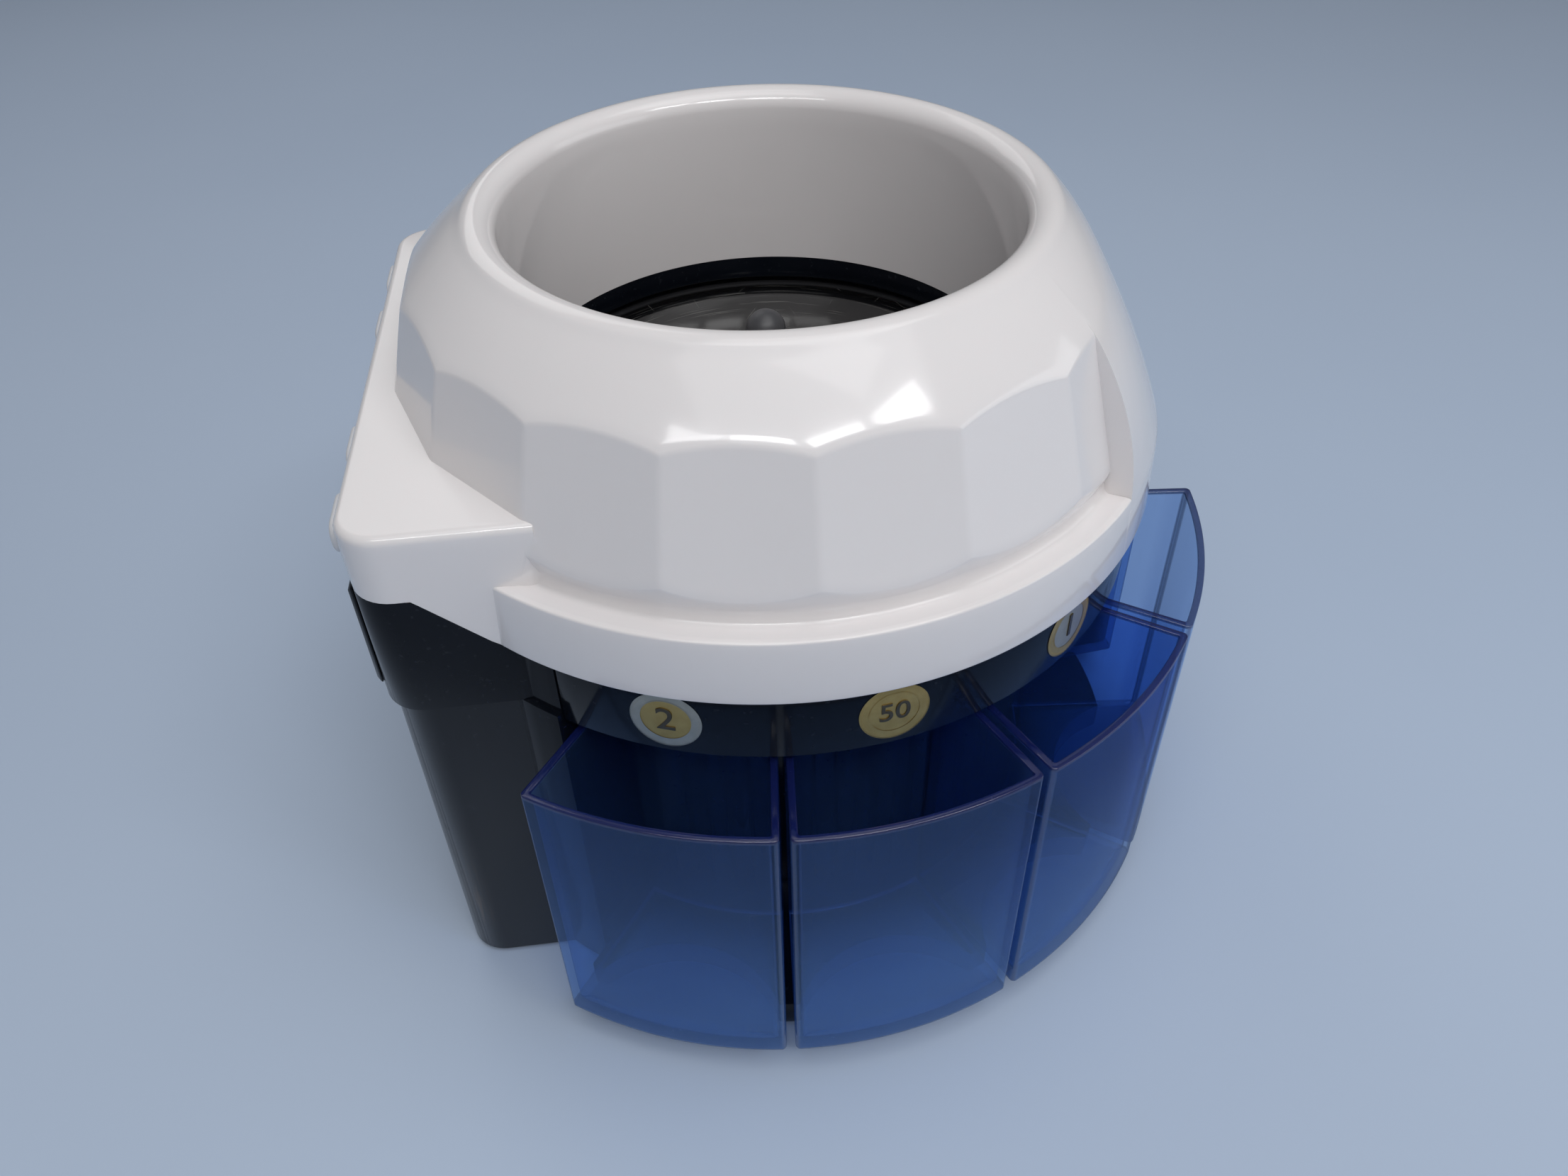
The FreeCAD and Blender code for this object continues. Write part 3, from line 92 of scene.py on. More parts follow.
SKIRT_BEND = 5.0 * MM     # the skirt is straight below this depth
FOOT_ROUND = 0.7 * MM
BOWL_WALL = 2.8 * MM

# Plain rear panel: radii of belly, shoulder and crown at its side edges and in its middle
REAR_HALF = 40.0
REAR_MIDDLE = 90.0
REAR_EDGE = (141.1 * MM, 124.7 * MM, 115.9 * MM)
REAR_BACK = (133.4 * MM, 117.7 * MM, 112.4 * MM)
REAR_Z = (233.0 * MM, 262.0 * MM, 270.2 * MM)
REAR_STEPS = 11
REAR_SEAM = 0.06          # degrees either side of the panel's edge

# Front block
BLOCK_HALF = 107.6 * MM
BLOCK_FRONT = 145.8 * MM
BLOCK_TOP = 228.6 * MM
BLOCK_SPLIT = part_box("body_shell")[1].z
BLOCK_CORNER = 15.0 * MM
BLOCK_EDGE = 3.0 * MM
BLOCK_BACK = 84.0 * MM
BLOCK_SKIN = 1.2 * MM
BLOCK_ROWS = (0.0, 0.03, 0.25, 0.6, 0.9)
SIDE_STEPS = 14
CHEEK_START = 0.45
WINDOW_W = 46.0 * MM
WINDOW_H = 14.0 * MM
CUT_DEPTH = 6.0 * MM
PLUG_BELOW, PLUG_ABOVE = 30.0 * MM, 10.0 * MM

# Keys: flange, softened face and play in the panel
KEY_LIP = 1.5 * MM
KEY_SOFT = 1.4 * MM
KEY_PLAY = 0.3 * MM
CAPSULE_ROUND = 0.84      # end radius as a share of the half height

# Trays
TRAY_INNER_R = 114.0 * MM
TRAY_HALF = 14.45
TRAY_WALL = 2.6 * MM
TRAY_FLOOR = 3.0 * MM
TRAY_CORNER = 2.0 * MM
TRAY_FOOT_R = 1.0 * MM
TRAY_RIM = 0.5 * MM
TRAY_COVE = 2.0 * MM
TRAY_INNER_CORNER = 1.0 * MM
TRAY_BANDS = 6
OUTER_STEPS, CORNER_STEPS, INNER_STEPS = 24, 8, 16

# Dish
DISH_RIM = 7.0 * MM
DISH_FLOOR_R = 52.0 * MM
DISH_DROP = 8.0 * MM
DISH_STEP = 1.0 * MM
DISH_WALL = 3.5 * MM
DISH_BORE = 4.0 * MM
DISH_HUB_R = 13.0 * MM
DISH_BOSS = (24.0 * MM, 20.0 * MM, 2.0 * MM)    # foot radius, top radius and rise
KNOB_HEAD = 7.5 * MM
KNOB_NECK = 6.0 * MM
KNOB_FOOT = (11.5 * MM, 2.0 * MM, 5.0 * MM)     # radius, edge height and height of its cone
RING_PLAY = 0.3 * MM
RING_ROUND = 0.6 * MM

# Badges: number, ring metal and centre metal, from the largest coin down
BADGE_R = (BADGE_HIGH.z - BADGE_LOW.z) / 2
BADGE_Z = (BADGE_LOW.z + BADGE_HIGH.z) / 2
BADGE_BAND_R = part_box("chute_ring")[1].x
BADGES = (("2", "silver", "gold"), ("50", "gold", "gold"), ("1", "gold", "silver"),
          ("20", "gold", "gold"), ("5", "copper", "copper"), ("10", "gold", "gold"),
          ("2", "copper", "copper"), ("1", "copper", "copper"))
RING_SHARE = 0.72         # the ring starts at this share of the badge's radius
BADGE_RISE = 0.35 * MM
BADGE_STEPS = 72
BADGE_RINGS = 10
BADGE_BEAD = 0.015        # width of the raised lines, as a share
PIN_HOLE = 0.05 * MM
BEAD_SIZES = {"Beads": 56, "Ring Radius": BADGE_R * 0.92, "Bead Size": BADGE_RISE * 0.8}
ONE_DIGIT, TWO_DIGITS = 1.15, 0.92

# Feet and their screws
FOOT_R = 8.0 * MM
REAR_FOOT_X = 78.0 * MM
SCREW_SIZES = {"Head Radius": 3.2 * MM, "Head Height": 2.15 * MM, "Cross Width": 1.1 * MM}
SCREW_Z = 1.1 * MM

# Photograph's camera, about the drum's axis on the floor
CAMERA_AT = (0.4046, -0.0404, 0.4597)
CAMERA_HEADING = (-0.9940, 0.1097)
CAMERA_PITCH = 41.72
CAMERA_ROLL = -1.5
CAMERA_LENS = 28.07

# Window panes behind the camera, as (azimuth, power), and where they stand
PANES = ((-32.0, 1.6), (-9.0, 2.4), (18.0, 2.6), (44.0, 1.8))
PANE_RISE = 50.0
PANE_REACH = 1.7
PANE_SIZE = (0.4, 0.2)
AIM_Z = 0.2
WORLD_LEVEL = 0.2
FLOOR_HALF = 6.0


# Shader helpers
def operator(operation, swap=False):
    """A method that adds a Math node for a socket and another socket or number."""
    def method(self, other):
        pair = {0: other, 1: self} if swap else {0: self, 1: other}
        return self.finish.node("ShaderNodeMath", {"operation": operation}, pair)
    return method


class Val:
    """A shader socket that takes part in Python arithmetic."""
    __add__, __radd__ = operator("ADD"), operator("ADD", True)
    __sub__, __rsub__ = operator("SUBTRACT"), operator("SUBTRACT", True)
    __mul__, __rmul__ = operator("MULTIPLY"), operator("MULTIPLY", True)
    __pow__ = operator("POWER")
    __gt__ = operator("GREATER_THAN")
    __lt__ = operator("LESS_THAN")

    def __init__(self, finish, socket):
        self.finish = finish
        self.socket = socket


class Finish:
    """One material, built node by node."""

    def __init__(self, name):
        self.material = bpy.data.materials.new(name)
        self.material.use_nodes = True
        self.tree = self.material.node_tree
        self.tree.nodes.clear()
        self.output = self.tree.nodes.new("ShaderNodeOutputMaterial")

    def node(self, kind, settings=None, inputs=None, output=0):
        """Add a node, set its settings, then its sockets, and return one output."""
        node = self.tree.nodes.new(kind)
        for key, value in (settings or {}).items():
            setattr(node, key, value)
        for key, value in (inputs or {}).items():
            if isinstance(value, Val):
                self.tree.links.new(value.socket, node.inputs[key])
            else:
                node.inputs[key].default_value = value
        return Val(self, node.outputs[output])

    def place(self):
        """Object coordinates."""
        return self.node("ShaderNodeTexCoord", output="Object")

    def centred(self):
        """Object coordinates about the drum's axis."""
        return self.node("ShaderNodeMapping", None,
                         {"Vector": self.place(), "Location": (0, -AXIS_Y, 0)})

    def parts(self, vector):
        """The X, Y and Z of a vector."""
        split = self.node("ShaderNodeSeparateXYZ", None, {0: vector}).socket.node
        return [Val(self, split.outputs[k]) for k in range(3)]

    def vector(self, x, y, z):
        """A vector from three values."""
        return self.node("ShaderNodeCombineXYZ", None, {0: x, 1: y, 2: z})

    def noise(self, vector, scale, detail=3.0, roughness=0.5):
        """Fractal noise between 0 and 1."""
        return self.node("ShaderNodeTexNoise", None, {
            "Vector": vector, "Scale": scale, "Detail": detail, "Roughness": roughness})

    def larger(self, first, second):
        """The larger of two values."""
        return self.node("ShaderNodeMath", {"operation": "MAXIMUM"}, {0: first, 1: second})

    def smooth(self, value, low, high):
        """0 below low, 1 above high and an even rise between."""
        return self.node("ShaderNodeMapRange", {"interpolation_type": "SMOOTHSTEP"},
                         {"Value": value, "From Min": low, "From Max": high})

    def mix(self, factor, first, second):
        """A colour between two colours."""
        return self.node("ShaderNodeMix", {"data_type": "RGBA"},
                         {0: factor, 6: first, 7: second}, 2)

    def bump(self, height, distance, strength=1.0):
        """A bump from a height between 0 and 1."""
        return self.node("ShaderNodeBump", None,
                         {"Height": height, "Distance": distance, "Strength": strength})

    def principled(self, **inputs):
        """The main shader; underscores in a name stand for spaces."""
        named = {key.replace("_", " "): value for key, value in inputs.items()}
        return self.node("ShaderNodeBsdfPrincipled", None, named)

    def see_through(self, solid, tint, skin):
        """A tinted clear shader under a skin, which shows as far as it is solid."""
        clear = self.node("ShaderNodeBsdfTransparent", None, {"Color": tint})
        return self.done(self.node("ShaderNodeMixShader", None, {0: solid, 1: clear, 2: skin}))

    def done(self, shader):
        """Connect the surface and return the material."""
        self.tree.links.new(shader.socket, self.output.inputs["Surface"])
        return self.material


def rgb(red, green, blue):
    """An opaque colour."""
    return (red, green, blue, 1.0)


# Finishes
def white_abs():
    """Glossy warm white moulding with faint mottling, a few specks and soft handling marks."""
    f = Finish("white_abs")
    at = f.place()
    cloud = f.noise(at, 9.0, 4.0)
    tint = f.mix(cloud, rgb(0.82, 0.785, 0.78), rgb(0.88, 0.845, 0.84))
    cell = f.node("ShaderNodeTexVoronoi", {"feature": "F1"}, {"Vector": at, "Scale": 42.0})
    speck = cell < 0.022
    rare = f.noise(at, 23.0, 1.0) > 0.62
    colour = f.mix(speck * rare * 0.7, tint, rgb(0.20, 0.19, 0.19))
    smear = f.noise(at, 30.0, 5.0, 0.6)
    peel = f.noise(at, 900.0, 2.0)
    return f.done(f.principled(
        Base_Color=colour, Roughness=0.08 + smear * 0.10, IOR=1.5,
        Coat_Weight=0.4, Coat_Roughness=0.05,
        Subsurface_Weight=0.08, Subsurface_Radius=(0.004, 0.003, 0.003), Subsurface_Scale=0.5,
        Normal=f.bump(peel, 0.00001, 0.25)))


def key_white():
    """Satin white keys."""
    f = Finish("key_white")
    at = f.place()
    grime = f.noise(at, 60.0, 4.0)
    colour = f.mix(grime, rgb(0.66, 0.66, 0.68), rgb(0.74, 0.735, 0.745))
    return f.done(f.principled(Base_Color=colour, Roughness=0.32 + grime * 0.12,
                               Normal=f.bump(f.noise(at, 2500.0, 2.0), 0.00002, 0.4)))


def black_abs():
    """Glossy blue-black moulding with dust, smears and a painted reflection: brown vertical streaks low on one
    rounded corner.
    """
    f = Finish("black_abs")
    at = f.place()
    x, y, z = f.parts(at)
    smear = f.noise(at, 22.0, 5.0, 0.62)
    dust = f.smooth(f.noise(at, 420.0, 3.0), 0.62, 0.75)
    base = f.mix(smear, rgb(0.0025, 0.0035, 0.006), rgb(0.006, 0.008, 0.013))
    dusty = f.mix(dust * 0.10, base, rgb(0.10, 0.11, 0.13))
    # Painted reflection: lighter brown vertical streaks low on the front rounded corner, where the gloss mirrors
    # the surroundings.
    corner = f.smooth(x, 0.098, 0.1045) * f.smooth(y * -1, 0.140, 0.150)
    low = f.smooth(z, 0.085, 0.03) * f.smooth(z, 0.018, 0.028)
    corner_reflection_streaks = f.smooth(f.noise(f.vector(x * 900, y * 900, z * 60), 1.0, 3.0), 0.45, 0.62)
    colour = f.mix(corner * low * corner_reflection_streaks * 0.75, dusty, rgb(0.10, 0.065, 0.04))
    peel = f.noise(at, 1100.0, 2.0)
    return f.done(f.principled(
        Base_Color=colour, Roughness=0.06 + smear * 0.12 + dust * 0.08,
        IOR=1.5, Specular_IOR_Level=0.17, Normal=f.bump(peel, 0.000015, 0.3)))


def blue_tray():
    """Clear blue plastic: see-through walls, painted shade on rims, foot and corners, painted shade high and light
    low on the faces, and a painted pale reflection on the outer faces.
    """
    f = Finish("blue_tray")
    at = f.place()
    x, y, z = f.parts(at)
    haze = f.noise(at, 14.0, 4.0, 0.55)
    # Painted shade: rims, foot and outer corners turn dark navy and more solid, standing in for light crossing the
    # plastic edge-on.
    rim = f.smooth(z, TRAY_TOP - 1.6 * MM, TRAY_TOP - 0.9 * MM)
    foot = f.smooth(z, TRAY_BOTTOM + 2.2 * MM, TRAY_BOTTOM + 0.8 * MM)
    corner = f.node("ShaderNodeAttribute", {"attribute_name": "corner"}, output="Fac")
    edge = f.larger(rim, f.larger(foot * 0.8, corner * 0.75))
    # Painted shade and light: the faces darken towards the top for the shade of the tray's inside, and lighten
    # towards the bottom.
    low = f.smooth(z, TRAY_TOP, TRAY_BOTTOM)
    across, along, _ = f.parts(f.centred())
    reach = (across * across + along * along) ** 0.5
    # Painted reflection: the outer faces turn more solid and pale, most of all low down, for the surroundings
    # mirrored in them.
    outside = f.smooth(reach, TRAY_R - 12 * MM, TRAY_R - 4 * MM)
    body = f.mix(haze * 0.4 + low * 0.6, rgb(0.12, 0.23, 0.52), rgb(0.20, 0.44, 0.88))
    colour = f.mix(edge, body, rgb(0.008, 0.014, 0.095))
    scratch = f.smooth(f.noise(f.vector(x * 700, y * 700, z * 26), 1.0, 2.0), 0.68, 0.74)
    skin = f.principled(Base_Color=colour, Roughness=0.05 + haze * 0.08 + scratch * 0.2, IOR=1.5,
                        Specular_IOR_Level=0.9)
    solid = 0.03 + haze * 0.03 + outside * (0.07 + low * 0.12) + edge * 0.66 + scratch * 0.04
    return f.see_through(solid, rgb(0.66, 0.78, 0.96), skin)


def dish_black():
    """Polished black dish, scratched round and across by coins."""
    f = Finish("dish_black")
    at = f.centred()
    x, y, _ = f.parts(at)
    radius = (x * x + y * y) ** 0.5
    angle = f.node("ShaderNodeMath", {"operation": "ARCTAN2"}, {0: y, 1: x})
    marks = f.smooth(f.noise(f.vector(angle * 2.2, radius * 1500, 0.0), 1.0, 3.0), 0.60, 0.72)
    for turn, scale in ((0.4, 1100.0), (1.5, 900.0), (2.5, 1300.0)):
        along = x * math.cos(turn) + y * math.sin(turn)
        across = y * math.cos(turn) - x * math.sin(turn)
        line = f.smooth(f.noise(f.vector(along * 38, across * scale, turn), 1.0, 2.0), 0.70, 0.78)
        marks = f.larger(marks, line)
    worn = f.smooth(radius, 0.05, 0.085) * 0.7 + 0.15
    scored = marks * worn
    colour = f.mix(scored * 0.55, rgb(0.004, 0.004, 0.0045), rgb(0.16, 0.155, 0.145))
    return f.done(f.principled(
        Base_Color=colour, Roughness=0.09 + scored * 0.35 + f.noise(at, 30.0, 4.0) * 0.08, IOR=1.55,
        Coat_Weight=0.8, Coat_Roughness=0.06, Normal=f.bump(1 - scored, 0.00004, 0.5)))


def moulded(name, dark, light, rough, grain, depth):
    """A moulded or cast surface: colour between two tones, fine grain and uneven gloss."""
    f = Finish(name)
    at = f.place()
    cloud = f.noise(at, 35.0, 4.0)
    fine = f.noise(at, grain, 3.0)
    return f.done(f.principled(Base_Color=f.mix(cloud, dark, light), Roughness=rough + cloud * 0.15,
                               Normal=f.bump(fine, depth, 0.6)))


def metal(name, dark, light, rough, streak):
    """Bare metal with a fine drawn grain along Z and cloudy tarnish."""
    f = Finish(name)
    x, y, z = f.parts(f.place())
    grain = f.noise(f.vector(x * streak, y * streak, z * streak * 0.06), 1.0, 3.0)
    cloud = f.noise(f.place(), 40.0, 4.0)
    colour = f.mix(grain * 0.5 + cloud * 0.5, dark, light)
    return f.done(f.principled(Base_Color=colour, Metallic=1.0, Roughness=rough + grain * 0.18,
                               Normal=f.bump(grain, 0.00002, 0.4)))


def badge_foil(name, dark, light):
    """Printed foil of a badge, slightly mottled."""
    f = Finish(name)
    at = f.place()
    cloud = f.noise(at, 220.0, 4.0)
    fine = f.noise(at, 1800.0, 2.0)
    return f.done(f.principled(Base_Color=f.mix(cloud, dark, light), Metallic=0.75,
                               Roughness=0.30 + fine * 0.2, Coat_Weight=0.4, Coat_Roughness=0.12,
                               Normal=f.bump(fine, 0.00003, 0.5)))


def clear_window():
    """The display's clear window."""
    f = Finish("clear_window")
    smear = f.noise(f.place(), 60.0, 4.0)
    skin = f.principled(Base_Color=rgb(0.02, 0.025, 0.025), Roughness=0.05 + smear * 0.08, IOR=1.49)
    return f.see_through(0.22 + smear * 0.06, rgb(0.85, 0.9, 0.88), skin)


def lcd_glass():
    """Grey-green display with a faint grid of dots."""
    f = Finish("lcd_glass")
    x, _, z = f.parts(f.place())
    dots = f.node("ShaderNodeTexChecker", None,
                  {"Vector": f.vector(x, 0.0, z), "Scale": 1600.0}, "Fac")
    colour = f.mix(dots * 0.25, rgb(0.22, 0.29, 0.17), rgb(0.17, 0.23, 0.13))
    return f.done(f.principled(Base_Color=colour, Roughness=0.25 + f.noise(f.place(), 90.0) * 0.1))


# Moulded finishes: darker and lighter tone, roughness, grain scale and grain depth
MOULDED = {
    "rail_black": (rgb(0.012, 0.012, 0.014), rgb(0.03, 0.03, 0.033), 0.3, 1400.0, 0.00003),
    "knob_grey": (rgb(0.045, 0.045, 0.05), rgb(0.075, 0.075, 0.08), 0.34, 2600.0, 0.00004),
    "rubber": (rgb(0.012, 0.012, 0.012), rgb(0.03, 0.03, 0.03), 0.7, 1800.0, 0.00006),
    "matte_black": (rgb(0.010, 0.010, 0.011), rgb(0.022, 0.022, 0.024), 0.42, 2200.0, 0.00005),
    "pulley_nylon": (rgb(0.62, 0.60, 0.55), rgb(0.72, 0.71, 0.66), 0.4, 900.0, 0.00003),
    "board_green": (rgb(0.010, 0.10, 0.04), rgb(0.02, 0.15, 0.065), 0.3, 1500.0, 0.00003),
    "chip_black": (rgb(0.012, 0.012, 0.013), rgb(0.03, 0.03, 0.03), 0.45, 2600.0, 0.00004),
}
# Bare metals: darker and lighter tone, roughness and streak scale
METALS = {
    "motor_can": (rgb(0.30, 0.31, 0.33), rgb(0.45, 0.46, 0.48), 0.3, 900.0),
    "steel": (rgb(0.46, 0.47, 0.49), rgb(0.64, 0.65, 0.67), 0.26, 1400.0),
    "cast_alloy": (rgb(0.48, 0.49, 0.50), rgb(0.62, 0.63, 0.64), 0.42, 500.0),
    "supply_case": (rgb(0.55, 0.56, 0.57), rgb(0.68, 0.69, 0.70), 0.34, 800.0),
    "brass": (rgb(0.58, 0.42, 0.15), rgb(0.78, 0.60, 0.27), 0.24, 1000.0),
}
FOIL = {
    "gold": badge_foil("badge_gold", rgb(0.42, 0.27, 0.06), rgb(0.62, 0.44, 0.14)),
    "silver": badge_foil("badge_silver", rgb(0.38, 0.35, 0.26), rgb(0.56, 0.52, 0.41)),
    "copper": badge_foil("badge_copper", rgb(0.40, 0.17, 0.08), rgb(0.58, 0.29, 0.15)),
    # A darker copy of the gold for the numbers: painted shade of their relief.
    "numeral_shade": badge_foil("badge_numeral_shade", rgb(0.07, 0.05, 0.02), rgb(0.13, 0.10, 0.05)),
}
FINISHES = {make.__name__: make() for make in (
    white_abs, key_white, black_abs, blue_tray, dish_black, clear_window, lcd_glass)}
FINISHES.update({name: moulded(name, *tones) for name, tones in MOULDED.items()})
FINISHES.update({name: metal(name, *tones) for name, tones in METALS.items()})
FINISHES["badge_print"] = FOIL["gold"]


# Mesh helpers
def placed(name, data):
    """A new object at the origin, linked to the scene."""
    thing = bpy.data.objects.new(name, data)
    bpy.context.scene.collection.objects.link(thing)
    return thing


def piece_from(name, vertices, faces, material, smooth=True):
    """An object from plain lists."""
    mesh = bpy.data.meshes.new(name)
    mesh.from_pydata(vertices, [], faces)
    mesh.update()
    mesh.polygons.foreach_set("use_smooth", [smooth] * len(mesh.polygons))
    mesh.materials.append(material)
    return placed(name, mesh)


def face_outwards(thing):
    """Merge doubles and turn every face outwards."""
    work = bmesh.new()
    work.from_mesh(thing.data)
    bmesh.ops.remove_doubles(work, verts=work.verts, dist=1e-7)
    bmesh.ops.recalc_face_normals(work, faces=work.faces)
    work.to_mesh(thing.data)
    work.free()
    return thing


def row_faces(rows, count):
    """Quads between neighbouring rows of points, each row a closed loop."""
    return [(r * count + j, r * count + (j + 1) % count,
             (r + 1) * count + (j + 1) % count, (r + 1) * count + j)
            for r in range(rows - 1) for j in range(count)]


def end_cap(rows, count):
    """One face over the last row."""
    return tuple(range((rows - 1) * count, rows * count))


def turned_faces(columns, count):
    """Quads between neighbouring columns of points round an axis, each a closed loop."""
    faces = []
    for k in range(columns):
        here, there = k * count, (k + 1) % columns * count
        for j in range(count):
            up = (j + 1) % count
            faces.append((here + j, there + j, there + up, here + up))
    return faces


def quarter(count):
    """Cosine and sine at even steps over a quarter turn."""
    turns = [math.radians(90 * k / count) for k in range(count + 1)]
    return [(math.cos(turn), math.sin(turn)) for turn in turns]


def settle(thing, node, body):
    """Hang the piece on its body's empty and hide the CAD node it stands for."""
    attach(thing, body)
    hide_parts(node)


def baked(thing):
    """Turn an object with modifiers into a plain mesh."""
    graph = bpy.context.evaluated_depsgraph_get()
    mesh = bpy.data.meshes.new_from_object(thing.evaluated_get(graph))
    thing.modifiers.clear()
    old = thing.data
    thing.data = mesh
    bpy.data.meshes.remove(old)
    return thing


def sharpen(thing, degrees):
    """Smooth shading with hard edges where faces meet at more than an angle."""
    limit = math.radians(degrees)
    work = bmesh.new()
    work.from_mesh(thing.data)
    for face in work.faces:
        face.smooth = True
    for edge in work.edges:
        edge.smooth = len(edge.link_faces) == 2 and edge.calc_face_angle(0.0) < limit
    work.to_mesh(thing.data)
    work.free()
    return thing


def dressed(node, bevel, degrees=32.0, segments=2):
    """A copy of a CAD node whose edges are slightly rounded and whose curves are smooth."""
    mesh = NODES[node].data.copy()
    mesh.materials.clear()
    mesh.materials.append(FINISHES[SLOT_OF[node]])
    thing = placed(node + "_look", mesh)
    work = bmesh.new()
    work.from_mesh(mesh)
    bmesh.ops.remove_doubles(work, verts=work.verts, dist=2e-6)
    bmesh.ops.dissolve_limit(work, angle_limit=math.radians(0.6), verts=work.verts,
                             edges=work.edges)
    work.to_mesh(mesh)
    work.free()
    if bevel:
        rounding = thing.modifiers.new("edge", "BEVEL")
        rounding.width = bevel
        rounding.segments = segments
        rounding.limit_method = "ANGLE"
        rounding.angle_limit = math.radians(degrees)
        rounding.harden_normals = False
        rounding.use_clamp_overlap = True
        baked(thing)
    return sharpen(thing, degrees)


def spun(name, profile, material, steps=160):
    """A closed solid of revolution about the drum's axis from (radius, height) points."""
    vertices = []
    for k in range(steps):
        angle = 2 * math.pi * k / steps
        for radius, z in profile:
            vertices.append((radius * math.cos(angle), AXIS_Y + radius * math.sin(angle), z))
    return face_outwards(piece_from(name, vertices, turned_faces(steps, len(profile)), material))


def circle_through(first, second, third):
    """Centre and radius of the circle through three points."""
    (ax, ay), (bx, by), (cx, cy) = first, second, third
    d = 2 * (ax * (by - cy) + bx * (cy - ay) + cx * (ay - by))
    a, b, c = ax * ax + ay * ay, bx * bx + by * by, cx * cx + cy * cy
    ux = (a * (by - cy) + b * (cy - ay) + c * (ay - by)) / d
    uy = (a * (cx - bx) + b * (ax - cx) + c * (bx - ax)) / d
    return (ux, uy), math.hypot(ax - ux, ay - uy)


def arc_points(first, via, last, count):
    """Points along the arc from first through via to last."""
    centre, radius = circle_through(first, via, last)
    turn = [math.atan2(p[1] - centre[1], p[0] - centre[0]) for p in (first, via, last)]
    sweep = (turn[2] - turn[0]) % (2 * math.pi)
    if (turn[1] - turn[0]) % (2 * math.pi) > sweep:
        sweep -= 2 * math.pi
    return [(centre[0] + radius * math.cos(turn[0] + sweep * k / count),
             centre[1] + radius * math.sin(turn[0] + sweep * k / count)) for k in range(count + 1)]


def rounded(corners, radius, count=4):
    """An open line of points whose inner corners are rounded."""
    line = [corners[0]]
    for before, corner, after in zip(corners, corners[1:], corners[2:]):
        c = Vector(corner)
        back, on = Vector(before) - c, Vector(after) - c
        half = back.normalized().angle(on.normalized()) / 2
        reach = min(radius / math.tan(half), 0.45 * back.length, 0.45 * on.length)
        start, end = c + back.normalized() * reach, c + on.normalized() * reach
        for k in range(count + 1):
            t = k / count
            line.append(tuple(start * (1 - t) ** 2 + c * 2 * t * (1 - t) + end * t ** 2))
    line.append(corners[-1])
    return line


def boolean(thing, tool, operation):
    """Join a tool to a piece, or cut it away, and drop the tool."""
    step = thing.modifiers.new("tool", "BOOLEAN")
    step.operation = operation
    step.object = tool
    step.solver = "EXACT"
    baked(thing)
    bpy.data.objects.remove(tool)
    return thing


# Hopper cover
LIP_OUTER = (LIP_R + LIP_TUBE * math.cos(math.radians(LIP_SIDE)),
             LIP_Z + LIP_TUBE * math.sin(math.radians(LIP_SIDE)))
BARREL_CIRCLE = circle_through(*BARREL)
CROWN_CIRCLE = circle_through(BARREL[0], CROWN_VIA, LIP_OUTER)


def barrel_r(z):
    """Radius of the unfaceted dome at a height."""
    (cx, cz), radius = BARREL_CIRCLE if z < BARREL[0][1] else CROWN_CIRCLE
    return cx + math.sqrt(max(radius * radius - (z - cz) ** 2, 0.0))


def facet_r(z, lean):
    """Distance from the axis to a flat, lean radians beside its middle."""
    return (FACET_FOOT[0] - FACET_SLOPE * (z - FACET_FOOT[1])) / math.cos(lean)


def crossing(lean, low, high):
    """The height between low and high where the flat meets the dome."""
    inside = barrel_r(low) > facet_r(low, lean)
    for _ in range(40):
        middle = (low + high) / 2
        if (barrel_r(middle) > facet_r(middle, lean)) == inside:
            low = middle
        else:
            high = middle
    return (low + high) / 2


def eased(first, last, count):
    """Numbers from first to last, without the last one."""
    return [first + (last - first) * k / count for k in range(count)]


def faceted_side(lean):
    """The dome's outer line under the lip, over one flat, at a lean from the flat's middle."""
    top = crossing(lean, BARREL[1][1] + 4 * MM, LIP_OUTER[1] - 2 * MM)
    low = crossing(lean, BARREL[2][1] - 6 * MM, BARREL[1][1] + 4 * MM)
    heights = eased(LIP_OUTER[1], top + SOFT_EDGE, CROWN_STEPS)
    heights += [top + SOFT_EDGE, top - SOFT_EDGE]
    heights += eased(top - 3 * SOFT_EDGE, low + SOFT_EDGE, FLAT_STEPS)
    heights += [low + SOFT_EDGE, low - SOFT_EDGE]
    heights += eased(low - 3 * SOFT_EDGE, BARREL[2][1] - 2 * MM, FOOT_STEPS)
    return [(min(barrel_r(z), facet_r(z, lean)), z) for z in heights]


def plain_side(azimuth, count):
    """The plain rear panel's outer line under the lip, with as many points as a faceted side."""
    share = ((azimuth - REAR_MIDDLE) / REAR_HALF) ** 2
    belly, shoulder, crown = ((back + (edge - back) * share, z)
                              for edge, back, z in zip(REAR_EDGE, REAR_BACK, REAR_Z))
    skirt = (SKIRT_R - SKIRT_DRAFT, SKIRT_TOP - SKIRT_EDGE)
    line = arc_points(LIP_OUTER, crown, shoulder, REAR_STEPS)[:REAR_STEPS]
    return line + arc_points(shoulder, belly, skirt, count - REAR_STEPS - 1)


